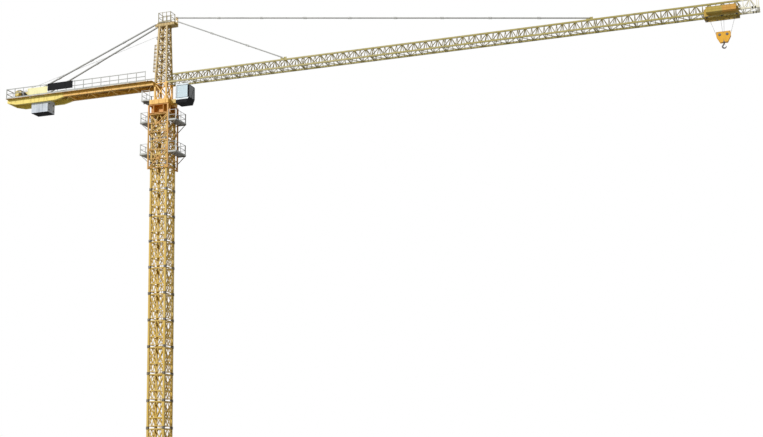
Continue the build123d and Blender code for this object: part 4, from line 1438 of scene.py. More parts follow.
@dataclass
class Jib:
    """Fittings of the jib: bottom bracing, side uprights, joint plates with pins, and end buffers."""

    root: float = 0.4
    sections: int = 8
    length: float = 3.45
    bays: int = 6
    inset: float = 0.04
    level: float = 20.5997
    height: float = 0.49
    half: float = 0.3225
    chord: float = 0.07
    lace: float = 0.024
    lace_foot: float = 0.3055
    upright: float = 0.026

    def dress(self) -> None:
        """Add all fittings of the jib."""
        self._bracing()
        self._joints()
        self._buffers()

    def _bracing(self) -> None:
        """Bars between the two lower chords, and thin uprights on both sides, two to a bay."""
        bottom, uprights = Shape(), Shape()
        reach = self.half - self.chord / 2
        low = self.level + self.chord / 2 - 0.004
        high = self.level + self.height - self.chord / 2 + 0.004
        step = (self.length - 2 * self.inset) / self.bays
        for index in range(self.sections):
            start = self.root + self.length * index + self.inset
            for bay in range(self.bays):
                x, ahead = start + bay * step, start + (bay + 1) * step
                turn = reach if bay % 2 == 0 else -reach
                bottom.bar((x + 0.03, -turn, self.level), (ahead - 0.03, turn, self.level),
                           self.lace, self.lace, ALONG_Z)
                if bay % 2 == 1:
                    bottom.bar((x, -reach, self.level), (x, reach, self.level), self.lace, self.lace, ALONG_Z)
            for half_bay in range(2 * self.bays + 1):
                x = start + half_bay * step / 2
                for side in (-1, 1):
                    uprights.bar((x, side * self.lace_foot, low), (x, side * self.chord / 4, high),
                                 self.upright, self.upright, ALONG_X)
        bottom.piece("jib_bottom_bracing", Body.UPPER, Coat.JIB)
        uprights.piece("jib_side_uprights", Body.UPPER, Coat.JIB)

    def _joints(self) -> None:
        """Plates and pins where two sections meet."""
        plates, pins = Shape(), Shape()
        side = self.chord / 2
        chords = [(-self.half, self.level), (self.half, self.level), (0.0, self.level + self.height)]
        for index in range(1, self.sections):
            x = self.root + self.length * index
            for y, z in chords:
                for face in (-1, 1):
                    plates.box((x - 0.08, y - 0.026, z + face * (side - 0.001)),
                               (x + 0.08, y + 0.026, z + face * (side + 0.005)))
                for step in (-0.04, 0.04):
                    pins.rod((x + step, y, z - side - 0.006), (x + step, y, z + side + 0.01), 0.013, 10)
        plates.piece("jib_joint_plates", Body.UPPER, Coat.SLEEVE)
        pins.piece("jib_joint_pins", Body.UPPER, Coat.BRIGHT, smooth=50.0)

    def _buffers(self) -> None:
        """Rubber stops for the trolley at the tip of the lower chords."""
        shape = Shape()
        tip = self.root + self.sections * self.length
        grown = self.chord / 2 + 0.006
        for x in (tip - 0.1, tip - 0.22):
            for y in (-self.half, self.half):
                shape.box((x - 0.025, y - grown, self.level - grown),
                          (x + 0.025, y + grown, self.level + grown))
        shape.soften(0.006)
        shape.piece("jib_end_buffers", Body.UPPER, Coat.RUBBER)


@dataclass
class Ties:
    """Pins at both ends of the tie bars, and bolts in their couplings."""

    jib_runs: tuple[Run, ...] = (
        ((0.69, 0.0, 23.9403), (20.85, 0.0, 21.1797)),
        ((0.69, 0.0, 23.7603), (6.3, 0.0, 21.1797)),
    )
    counter_runs: tuple[Run, ...] = (
        ((-0.34, -0.15, 23.7003), (-7.34, -0.4, 20.779)),
        ((-0.34, 0.15, 23.7003), (-7.34, 0.4, 20.779)),
    )
    bar_length: float = 2.15
    width: float = 0.0752
    bolt: float = 0.011
    bolt_step: float = 0.05
    pin: float = 0.016
    washer: float = 0.024
    washer_width: float = 0.008

    def dress(self) -> None:
        """Add the pins at the head, on the jib and on the counter-jib, and the bolts."""
        runs = self.jib_runs + self.counter_runs
        self._pins("head_tie_pins", [start for start, _ in runs], 0.058, 0.044)
        self._pins("jib_tie_pins", [end for _, end in self.jib_runs], 0.055, 0.042)
        self._pins("counter_tie_pins", [end for _, end in self.counter_runs], 0.055, 0.042)
        self._bolts(runs)

    def _pins(self, name: str, spots: Sequence[Triple], half: float, grip: float) -> None:
        """Pins along Y with a washer on each side.

        Args:
            name: Name of the piece.
            spots: Middle of each pin.
            half: Half of a pin's length.
            grip: From the middle of a pin to its washers.
        """
        shape = Shape()
        for x, y, z in spots:
            shape.rod((x, y - half, z), (x, y + half, z), self.pin, 14)
            for side in (-1, 1):
                inner = y + side * grip
                shape.rod((x, inner, z), (x, inner + side * self.washer_width, z), self.washer, 14)
        shape.piece(name, Body.UPPER, Coat.BRIGHT, smooth=50.0)

    def _bolts(self, runs: Sequence[Run]) -> None:
        """Two bolts in each coupling.

        Args:
            runs: Upper and lower end of each row of bars.
        """
        shape = Shape()
        for start, end in runs:
            a, b = Vector(start), Vector(end)
            run = b - a
            across = Vector(ALONG_Z).cross(run).normalized() * (self.width / 2 + 0.012)
            count = max(2, round(run.length / self.bar_length))
            for i in range(1, count):
                for step in (-self.bolt_step, self.bolt_step):
                    spot = a + run * (i / count) + run.normalized() * step
                    shape.rod(spot - across, spot + across, self.bolt, 6)
        shape.piece("tie_coupling_bolts", Body.UPPER, Coat.BRIGHT)


@dataclass
class CounterJib:
    """Fittings of the counter-jib: flanges, ribs, bracing, railings, panels, board rim and slab fittings."""

    front: float = -0.3403
    rear: float = -8.5
    line: float = 0.4
    beam: float = 0.09
    low: float = 20.4997
    high: float = 20.6747
    rear_low: float = 20.3847
    taper_start: float = -5.25
    taper_end: float = -5.75
    tail: float = -8.0
    ribs: int = 18
    bays: int = 10
    lip: float = 0.012
    deck: float = 20.689
    half: float = 0.6
    toe: float = 0.06
    board: float = 0.005
    rail_line: float = 0.578
    rail_rear: float = -8.478
    rail_front: float = -0.7
    rail_posts: int = 9
    rail_height: float = 0.5
    rail_tube: float = 0.016
    post: float = 0.014
    panel_rear: float = -7.25
    panel_front: float = -6.12
    panel_height: float = 0.4
    panel_ribs: int = 4
    panel_rivets: int = 9
    slabs: int = 6
    slab_front: float = -6.25
    slab_pitch: float = 0.154
    slab_top: float = 20.765
    slab_foot: float = 19.875
    slab_half: float = 0.325
    slab_shade_plate: float = 0.148

    def dress(self) -> None:
        """Add all fittings of the counter-jib."""
        self._flanges()
        self._ribs()
        self._bracing()
        self._rails()
        self._panels()
        self._board()
        self._slabs()

    def _flanges(self) -> None:
        """Lower flanges that follow the depth of the main beams."""
        shape = Shape()
        low, deep = self.low + self.lip / 2, self.rear_low + self.lip / 2
        path = [(self.front, low), (self.taper_start, low), (self.taper_end, deep), (self.tail, deep),
                (self.rear + 0.006, low)]
        for y in (-self.line, self.line):
            for (xa, za), (xb, zb) in zip(path, path[1:]):
                shape.bar((xa, y, za), (xb, y, zb), self.beam + 0.03, self.lip, ALONG_Z)
        shape.piece("counter_beam_flanges", Body.UPPER, Coat.COUNTER)

    def _ribs(self) -> None:
        """Upright ribs on both faces of the main beams."""
        shape = Shape()
        for i in range(1, self.ribs):
            x = self.front + (self.rear - self.front) * i / self.ribs
            low = self.rear_low if self.tail <= x <= self.taper_end else self.low
            for side in (-1, 1):
                for face in (-1, 1):
                    at = side * self.line + face * self.beam / 2
                    shape.box((x - 0.006, at, low + self.lip),
                              (x + 0.006, at + face * 0.013, self.high - 0.006))
        shape.piece("counter_beam_ribs", Body.UPPER, Coat.COUNTER)

    def _bracing(self) -> None:
        """Diagonals between the main beams, under the deck."""
        shape = Shape()
        reach = self.line - self.beam / 2
        z = self.low + 0.06
        start, stop = self.front - 0.1, self.slab_front + 0.1
        for i in range(self.bays):
            a = start + (stop - start) * i / self.bays
            b = start + (stop - start) * (i + 1) / self.bays
            turn = reach if i % 2 == 0 else -reach
            shape.bar((a, -turn, z), (b, turn, z), 0.034, 0.034, ALONG_Z)
        shape.piece("counter_jib_bracing", Body.UPPER, Coat.COUNTER)

    def _rails(self) -> None:
        """Tubes and middle posts of the side railings, and toe boards."""
        tubes = Shape()
        line, top = self.rail_line, self.deck + self.rail_height
        step = (self.rail_front - self.rail_rear) / (self.rail_posts - 1)
        for i in range(self.rail_posts - 1):
            x = self.rail_rear + step * (i + 0.5)
            for y in (-line, line):
                tubes.box((x - self.post, y - self.post, self.deck), (x + self.post, y + self.post, top))
        for z in (self.deck + self.rail_height / 2, top - self.rail_tube):
            for y in (-line, line):
                tubes.rod((self.rail_rear, y, z), (self.rail_front, y, z), self.rail_tube, 8)
            tubes.rod((self.rail_rear, -line, z), (self.rail_rear, line, z), self.rail_tube, 8)
        tubes.piece("counter_rail_tubes", Body.UPPER, Coat.RAIL)
        boards = Shape()
        inner, edge = self.half - self.board, self.deck + self.toe
        for y in (-self.half, inner):
            boards.box((self.rear, y, self.deck), (self.rail_front, y + self.board, edge))
        boards.box((self.rear, -inner, self.deck), (self.rear + self.board, inner, edge))
        boards.piece("counter_toe_boards", Body.UPPER, Coat.RAIL)

    def _panels(self) -> None:
        """Pale sheet panels between the posts beside the counterweights."""
        shape = Shape()
        low, high = self.deck + 0.064, self.deck + self.panel_height
        length = self.panel_front - self.panel_rear
        for side in (-1, 1):
            shape.box((self.panel_rear, side * (self.rail_line + 0.017), low),
                      (self.panel_front, side * (self.rail_line + 0.022), high))
            for i in range(self.panel_ribs):
                x = self.panel_rear + length * (i + 0.5) / self.panel_ribs
                shape.box((x - 0.012, side * (self.rail_line + 0.01), low + 0.01),
                          (x + 0.012, side * (self.rail_line + 0.018), high - 0.01))
            face = side * (self.rail_line + 0.0215)
            for z in (low, high - 0.02):
                shape.box((self.panel_rear, side * (self.rail_line + 0.008), z),
                          (self.panel_front, side * (self.rail_line + 0.0175), z + 0.02))
                for i in range(self.panel_rivets):
                    x = self.panel_rear + length * (i + 0.5) / self.panel_rivets
                    shape.rod((x, face, z + 0.01), (x, face + side * 0.004, z + 0.01), 0.008, 8)
        shape.piece("counter_side_panels", Body.UPPER, Coat.PANEL)

    @staticmethod
    def _board() -> None:
        """Rim and clamps of the bare board."""
        low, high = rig.box("bare_board")
        shape = Shape()
        near, far = low[1] - 0.006, low[1] + 0.004
        rim = 0.018
        for z in (low[2], high[2] - rim):
            shape.box((low[0], near, z), (high[0], far, z + rim))
        for x in (low[0], high[0] - rim):
            shape.box((x, near, low[2] + rim), (x + rim, far, high[2] - rim))
        shape.soften(0.002)
        shape.piece("board_rim", Body.UPPER, Coat.BLACK)
        clamps = Shape()
        for i in range(4):
            x = low[0] + (high[0] - low[0]) * (i + 0.5) / 4
            for z in (low[2] + 0.11, high[2] - 0.01):
                clamps.box((x - 0.015, high[1] - 0.002, z - 0.02), (x + 0.015, high[1] + 0.028, z + 0.02))
        clamps.piece("board_clamps", Body.UPPER, Coat.DARK)

    def _slabs(self) -> None:
        """Lifting eyes of the slabs, thin black plates under them as painted shade on their undersides, and nuts of
        the rods that clamp them together.
        """
        shape = Shape()
        for i in range(self.slabs):
            x = self.slab_front - self.slab_pitch * i - 0.074
            for y in (-0.24, 0.24):
                shape.ring((x, y, self.slab_top + 0.022), ALONG_X, 0.032, 0.008, 14)
        shape.piece("slab_lifting_eyes", Body.UPPER, Coat.DARK, smooth=60.0)
        nuts = Shape()
        front = self.slab_front
        rear = front - self.slab_pitch * self.slabs + 0.006
        for y in (-0.2, 0.2):
            for z in (20.0, 20.3):
                for x, end in ((front, 1), (rear, -1)):
                    nuts.rod((x, y, z), (x + end * 0.008, y, z), 0.034, 14)
                    nuts.rod((x + end * 0.008, y, z), (x + end * 0.03, y, z), 0.02, 6)
        nuts.piece("slab_rod_nuts", Body.UPPER, Coat.DARK)
        # painted shade: thin black plates under the slabs darken their undersides
        shade_plates = Shape()
        for i in range(self.slabs):
            x = front - self.slab_pitch * i
            shade_plates.box((x - self.slab_shade_plate, -self.slab_half, self.slab_foot - 0.01),
                      (x, self.slab_half, self.slab_foot + 0.002))
        shade_plates.piece("slab_painted_shade_plates", Body.UPPER, Coat.BLACK)


@dataclass
class Winch:
    """Turned drum, wound rope, rope guard and finned motor of the hoist winch."""

    axis: Triple = (-8.01, 0.0, 20.9823)
    drum: float = 0.165
    drum_half: float = 0.21
    flange: float = 0.225
    flange_width: float = 0.022
    turns: int = 26
    rope: float = 0.006
    motor: float = 0.13
    motor_start: float = -0.2463
    motor_end: float = -0.38
    fins: int = 9

    def dress(self) -> None:
        """Add all fittings of the winch."""
        self._drum()
        self._windings()
        self._guard()
        self._motor()

    def _drum(self) -> None:
        """Turned drum with its two flanges."""
        shape = Shape()
        inner, outer = self.drum_half - self.flange_width, self.drum_half
        web = outer - 0.008
        half = [(0.0, outer), (0.06, outer), (0.07, web), (0.19, web), (0.2, outer),
                (self.flange - 0.004, outer), (self.flange, outer - 0.005), (self.flange, inner + 0.004),
                (self.flange - 0.005, inner), (self.drum - 0.002, inner)]
        shape.lathe(self.axis, ALONG_Y, half + [(r, -t) for r, t in reversed(half)], 48)
        shape.piece("hoist_drum_turned", Body.UPPER, Coat.DARK, replaces=("hoist_drum",), smooth=35.0)

    def _windings(self) -> None:
        """Rope wound on the drum."""
        shape = Shape()
        reach = self.drum_half - self.flange_width
        steps = self.turns * 4
        profile = [(self.drum - 0.004, -reach)]
        for i in range(steps + 1):
            swell = self.rope * (1.0 - math.cos(2 * math.pi * i / 4)) / 2
            profile.append((self.drum + 0.002 + swell, -reach + 2 * reach * i / steps))
        profile.append((self.drum - 0.004, reach))
        shape.lathe(self.axis, ALONG_Y, profile, 40, closed=True)
        shape.piece("hoist_rope_windings", Body.UPPER, Coat.ROPE, smooth=70.0)

    def _guard(self) -> None:
        """Curved sheet guard behind and over the drum."""
        shape = Shape()
        inner, outer = self.flange + 0.014, self.flange + 0.022
        turns = [math.radians(70 + 12 * i) for i in range(10)]
        x, z = self.axis[0], self.axis[2]
        arc = [(x + outer * math.cos(t), z + outer * math.sin(t)) for t in turns]
        arc += [(x + inner * math.cos(t), z + inner * math.sin(t)) for t in reversed(turns)]
        shape.plate(arc, Axis.Y, -self.drum_half + 0.005, self.drum_half - 0.005)
        shape.piece("winch_rope_guard", Body.UPPER, Coat.WINCH, smooth=30.0)

    def _motor(self) -> None:
        """Finned shell and end cover of the motor."""
        shape = Shape()
        profile = [(self.motor - 0.004, 0.0)]
        depth = self.motor_end - self.motor_start
        root, crest, cover = self.motor + 0.002, self.motor + 0.012, depth - 0.014
        for i in range(self.fins):
            a = depth * (i + 0.3) / self.fins
            b = depth * (i + 0.7) / self.fins
            profile += [(root, a), (crest, a), (crest, b), (root, b)]
        profile += [(self.motor, depth - 0.002), (self.motor - 0.01, depth - 0.012),
                    (0.04, cover), (0.0, cover)]
        shape.lathe((self.axis[0], self.motor_start, self.axis[2]), ALONG_Y, profile, 40)
        shape.piece("winch_motor_shell", Body.UPPER, Coat.WINCH, smooth=35.0)


@dataclass
class Cab:
    """Fittings of the cab: seals, a black skirt of painted shade, front trim, roof rim, door lines, handles, seat and
    wiper.
    """

    rear: float = 0.85
    front: float = 1.53
    near: float = -0.375
    far: float = 0.275
    floor: float = 19.4747
    roof: float = 20.4247
    nose: float = 0.09
    sill: float = 0.25
    pillar: float = 0.055
    seal: float = 0.014
    seal_rise: float = 0.007
    skirt: float = 0.16
    shell: float = 0.006
    roof_lip: Pair = (0.012, 0.03)
    door: Pair = (0.04, 0.4)
    seat: tuple[Run, ...] = (
        ((0.18, -0.12, 0.2), (0.44, 0.12, 0.27)),
        ((0.15, -0.12, 0.25), (0.21, 0.12, 0.62)),
        ((0.25, -0.06, 0.024), (0.37, 0.06, 0.2)),
        ((0.26, -0.215, 0.1), (0.5, -0.145, 0.32)),
        ((0.26, 0.145, 0.1), (0.5, 0.215, 0.32)),
    )

    def dress(self) -> None:
        """Add all fittings of the cab."""
        self._seals()
        self._painted_shade_skirt()
        self._trim()
        self._door()
        self._inside()
        self._wiper()

    def _frame(self, shape: Shape, axis: Axis, at: float, outer: float, low: Pair, high: Pair) -> None:
        """Four strips round a window.

        Args:
            shape: Mesh that takes the strips.
            axis: Direction that the window faces.
            at: Place of the wall.
            outer: Place of the outer face of the strips.
            low: Lower corner of the window.
            high: Upper corner of the window.
        """
        near, far = sorted((at, outer))
        (a, c), (b, d) = low, high
        s = self.seal
        strips = ((a - s, c - s, b + s, c), (a - s, d, b + s, d + s), (a - s, c, a, d), (b, c, b + s, d))
        for left, bottom, right, top in strips:
            shape.plate([(left, bottom), (right, bottom), (right, top), (left, top)], axis, near, far)

    def _seals(self) -> None:
        """Rubber seals round the panes."""
        shape = Shape()
        low, high = self.floor + self.sill, self.roof - self.nose
        sides = ((self.rear + self.pillar, low), (self.front - self.pillar, high))
        self._frame(shape, Axis.Y, self.near + 0.002, self.near - self.seal_rise, *sides)
        self._frame(shape, Axis.Y, self.far - 0.002, self.far + self.seal_rise, *sides)
        self._frame(shape, Axis.X, self.front - 0.002, self.front + self.seal_rise,
                    (self.near + self.pillar, low), (self.far - self.pillar, high))
        shape.piece("cab_window_seals", Body.UPPER, Coat.RUBBER)

    def _painted_shade_skirt(self) -> None:
        """Black sheets round and under the floor: painted shade on the cab's lower edge and underside."""
        shape = Shape()
        rise = self.floor + self.skirt
        nose = self.front - self.nose
        edge = nose + self.nose * self.skirt / self.sill
        middle = (self.near + self.far) / 2
        outline = [(self.rear, self.floor), (nose, self.floor), (edge, rise), (self.rear, rise)]
        shape.plate(outline, Axis.Y, self.near - self.shell, self.near + 0.001)
        shape.plate(outline, Axis.Y, self.far - 0.001, self.far + self.shell)
        shape.box((self.rear - self.shell, self.near - self.shell, self.floor - 0.01),
                  (nose + 0.004, self.far + self.shell, self.floor + 0.002))
        shape.bar((nose, middle, self.floor - 0.003),
                  (self.front + 0.001, middle, self.floor + self.sill - 0.003),
                  self.far - self.near, 0.012, ALONG_X)
        # painted shade: the black sheets stand in for the shadow on the cab's lower edge and underside
        shape.piece("cab_painted_shade_skirt", Body.UPPER, Coat.BLACK)

    def _trim(self) -> None:
        """Black front pillars and a rim round the roof."""
        shape = Shape()
        low, high = self.floor + self.sill, self.roof - self.nose
        face = self.front + self.shell
        for y in (self.near, self.far - self.pillar):
            shape.box((self.front - 0.002, y, low), (face, y + self.pillar, high))
        for y in (self.near - self.shell, self.far):
            shape.box((self.front - self.pillar, y, low), (face, y + self.shell, high))
        shape.piece("cab_front_trim", Body.UPPER, Coat.BLACK)
        rim = Shape()
        lip, drop = self.roof_lip
        for y in (self.near - lip, self.far):
            rim.box((self.rear, y, self.roof - drop), (self.front - self.nose, y + lip, self.roof))
        rim.box((self.rear - 0.01, self.near - lip, self.roof - drop), (self.rear, self.far + lip, self.roof))
        rim.soften(0.003)
        rim.piece("cab_roof_rim", Body.UPPER, Coat.CAB)

    def _door(self) -> None:
        """Door lines, hinges and handle on the far side, and two grab rails at the rear."""
        lines = Shape()
        low, high = self.floor + 0.05, self.roof - 0.05
        hinge, edge = (self.rear + step for step in self.door)
        back, face = self.far - 0.001, self.far + 0.004
        for x in (hinge, edge):
            lines.box((x - 0.003, back, low), (x + 0.003, face, high))
        lines.box((hinge, back, high - 0.006), (edge, face, high))
        lines.piece("cab_door_lines", Body.UPPER, Coat.RUBBER)
        metal = Shape()
        for z in (low + 0.12, high - 0.12):
            metal.rod((hinge, self.far + 0.006, z - 0.03), (hinge, self.far + 0.006, z + 0.03), 0.01, 10)
        handle, out = edge - 0.05, self.far + 0.012
        metal.rod((handle, out, low + 0.3), (handle, out, low + 0.38), 0.007, 10)
        rail = self.rear - 0.03
        for y in (self.near + 0.05, self.far - 0.05):
            metal.rod((rail, y, low + 0.2), (rail, y, high - 0.1), 0.009, 10)
            for z in (low + 0.22, high - 0.12):
                metal.rod((rail, y, z), (self.rear + 0.002, y, z), 0.007, 8)
        metal.piece("cab_handles", Body.UPPER, Coat.BRIGHT, smooth=50.0)

    def _inside(self) -> None:
        """Seat and two consoles behind the panes."""
        shape = Shape()
        start = (self.rear, (self.near + self.far) / 2, self.floor)
        for block in self.seat:
            low, high = (tuple(a + b for a, b in zip(start, corner)) for corner in block)
            shape.box(low, high)
        shape.soften(0.018, 2)
        shape.piece("cab_seat", Body.UPPER, Coat.RUBBER, smooth=40.0)

    def _wiper(self) -> None:
        """Wiper on the front pane."""
        shape = Shape()
        y = (self.near + self.far) / 2
        z = self.floor + self.sill + 0.04
        arm, blade = self.front + 0.011, self.front + 0.006
        shape.rod((self.front + 0.004, y, z), (self.front + 0.016, y, z), 0.016, 12)
        shape.bar((arm, y, z), (arm, y + 0.12, z + 0.3), 0.008, 0.004, ALONG_X)
        shape.bar((blade, y + 0.06, z + 0.16), (blade, y + 0.18, z + 0.44), 0.006, 0.006, ALONG_X)
        shape.piece("cab_wiper", Body.UPPER, Coat.RUBBER)


@dataclass
class Trolley:
    """Fittings of the trolley: grooved sheaves, flanged wheels, axle nuts, plate ribs and basket rim."""

    x: float = 26.5
    wheel_base: float = 1.15
    wheel: float = 0.055
    wheel_line: float = 0.3455
    wheel_half: float = 0.012
    wheel_level: float = 20.69
    plate_inner: float = 0.3655
    plate_outer: float = 0.3775
    rope_level: float = 20.5407
    sheaves: tuple[Pair, ...] = ((-0.64, 0.1), (0.0, 0.07), (0.64, 0.1))
    sheave_width: float = 0.036

    def dress(self) -> None:
        """Add all fittings of the trolley."""
        self._sheaves()
        self._wheels()
        self._ribs()
        self._basket()

    def _sheaves(self) -> None:
        """Three grooved sheaves on their pins."""
        shape = Shape()
        for step, radius in self.sheaves:
            x, z = self.x + step, self.rope_level - radius
            shape.sheave((x, 0.0, z), radius - 0.006, self.sheave_width)
            shape.rod((x, -0.04, z), (x, 0.04, z), 0.016, 12)
        shape.piece("trolley_rope_sheaves", Body.TROLLEY, Coat.DARK, replaces=("trolley_sheaves",),
                    smooth=35.0)

    def _wheels(self) -> None:
        """Four wheels with an outer flange and an axle into the side plate, and the axles' nuts."""
        wheels, nuts = Shape(), Shape()
        flange, back = self.wheel + 0.012, self.wheel_half
        axle = self.plate_inner - self.wheel_line
        profile = [(0.0, -back), (0.02, -back), (0.024, 0.004 - back), (self.wheel - 0.012, 0.004 - back),
                   (self.wheel - 0.006, -back), (self.wheel, 0.003 - back), (self.wheel, back + 0.002),
                   (flange, back + 0.003), (flange, back + 0.006), (0.018, back + 0.007),
                   (0.018, axle), (0.0, axle)]
        z = self.wheel_level
        for end in (-1, 1):
            x = self.x + end * self.wheel_base / 2
            for side in (-1, 1):
                wheels.lathe((x, side * self.wheel_line, z), (0.0, float(side), 0.0), profile, 36)
                face, washer, nut = (side * (self.plate_outer + rise) for rise in (0.0, 0.006, 0.022))
                nuts.rod((x, face, z), (x, washer, z), 0.032, 16)
                nuts.rod((x, washer, z), (x, nut, z), 0.02, 6)
        wheels.piece("trolley_flanged_wheels", Body.TROLLEY, Coat.DARK, replaces=("trolley_wheels",),
                     smooth=35.0)
        nuts.piece("trolley_axle_nuts", Body.TROLLEY, Coat.BRIGHT)

    def _ribs(self) -> None:
        """Edge strips and upright stiffeners on the far side plate."""
        low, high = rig.box("trolley_frame")
        shape = Shape()
        y = self.plate_outer
        base = low[2] + 0.06
        for z in (base, high[2] - 0.02):
            shape.box((low[0], y, z), (high[0], y + 0.012, z + 0.02))
        for i in range(7):
            x = low[0] + (high[0] - low[0]) * i / 6
            left = min(max(x - 0.008, low[0]), high[0] - 0.016)
            shape.box((left, y, base + 0.02), (left + 0.016, y + 0.012, high[2] - 0.02))
        shape.soften(0.002)
        shape.piece("trolley_plate_ribs", Body.TROLLEY, Coat.TROLLEY)

    @staticmethod
    def _basket() -> None:
        """Rim tube and ribs of the basket."""
        low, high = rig.box("trolley_basket")
        shape = Shape()
        z = high[2]
        near, far = low[1] + 0.005, high[1] - 0.008
        rear, front = low[0] + 0.005, high[0] - 0.005
        corners = [(rear, far), (rear, near), (front, near), (front, far)]
        for a, b in zip(corners, corners[1:]):
            shape.rod((*a, z), (*b, z), 0.011, 10)
        shape.piece("basket_rim_tube", Body.TROLLEY, Coat.TROLLEY, smooth=50.0)
        ribs = Shape()
        for i in range(8):
            x = low[0] + (high[0] - low[0]) * (i + 0.5) / 8
            ribs.box((x - 0.006, low[1] - 0.008, low[2] + 0.001), (x + 0.006, low[1] + 0.002, high[2]))
        for rise in (0.004, 0.105):
            z = low[2] + rise
            ribs.box((low[0], low[1] - 0.006, z), (high[0], low[1] + 0.001, z + 0.016))
        ribs.piece("basket_ribs", Body.TROLLEY, Coat.BASKET)


@dataclass
class HookBlock:
    """Fittings of the hook block: grooved sheaves, cheek rims, bosses and spacer rods."""

    x: float = 26.5
    top: float = 19.7797
    foot: float = 19.3097
    axis: float = 19.6497
    offset: float = 0.155
    sheave: float = 0.13
    width: float = 0.036
    half: float = 0.3
    foot_half: float = 0.16
    shoulder: float = 0.0725
    cheek_inner: float = 0.065
    cheek_outer: float = 0.087
    rim_share: float = 0.93
    rim_rise: float = 0.008

    def dress(self) -> None:
        """Add all fittings of the hook block."""
        self._sheaves()
        self._rims()
        self._bosses()

    def _sheaves(self) -> None:
        """Two grooved sheaves on their pins."""
        shape = Shape()
        for side in (-1, 1):
            x, z = self.x + side * self.offset, self.axis
            shape.sheave((x, 0.0, z), self.sheave - 0.006, self.width)
            shape.rod((x, -self.cheek_inner, z), (x, self.cheek_inner, z), 0.03, 18)
        shape.piece("block_rope_sheaves", Body.BLOCK, Coat.DARK, replaces=("block_sheaves",), smooth=35.0)

    def _rims(self) -> None:
        """Raised rims round both cheeks."""
        shape = Shape()
        low = self.axis - self.shoulder
        path = [(-self.half, self.top), (self.half, self.top), (self.half, low), (self.foot_half, self.foot),
                (-self.foot_half, self.foot), (-self.half, low)]
        middle = (self.top + self.foot) / 2
        outer = [(self.x + x, z) for x, z in path]
        inner = [(self.x + x * self.rim_share, middle + (z - middle) * self.rim_share) for x, z in path]
        count = len(path)
        for side in (-1, 1):
            low, high = sorted((side * self.cheek_outer, side * (self.cheek_outer + self.rim_rise)))
            for i in range(count):
                after = (i + 1) % count
                shape.plate([outer[i], outer[after], inner[after], inner[i]], Axis.Y, low, high)
        shape.piece("block_cheek_rims", Body.BLOCK, Coat.BLOCK)

    def _bosses(self) -> None:
        """Pin bosses and bolts on the cheeks, and spacer rods between them."""
        shape = Shape()
        boss = [(0.06, 0.0), (0.06, 0.006), (0.052, 0.012), (0.034, 0.012), (0.034, 0.022), (0.0, 0.022)]
        turns = [2 * math.pi * i / 6 for i in range(6)]
        for side in (-1, 1):
            y = side * self.cheek_outer
            for middle in (self.x - self.offset, self.x + self.offset):
                shape.lathe((middle, y, self.axis), (0.0, float(side), 0.0), boss, 24)
                for turn in turns:
                    x, z = middle + 0.045 * math.cos(turn), self.axis + 0.045 * math.sin(turn)
                    shape.rod((x, y + side * 0.01, z), (x, y + side * 0.019, z), 0.006, 6)
            z = self.foot + 0.03
            shape.rod((self.x, y, z), (self.x, y + side * 0.016, z), 0.03, 18)
        high, reach = self.top - 0.03, self.cheek_outer + 0.012
        for step, z in ((-0.27, high), (0.27, high), (0.0, high), (0.0, self.foot + 0.12)):
            shape.rod((self.x + step, -reach, z), (self.x + step, reach, z), 0.013, 10)
        shape.piece("block_bosses_and_rods", Body.BLOCK, Coat.DARK, smooth=35.0)


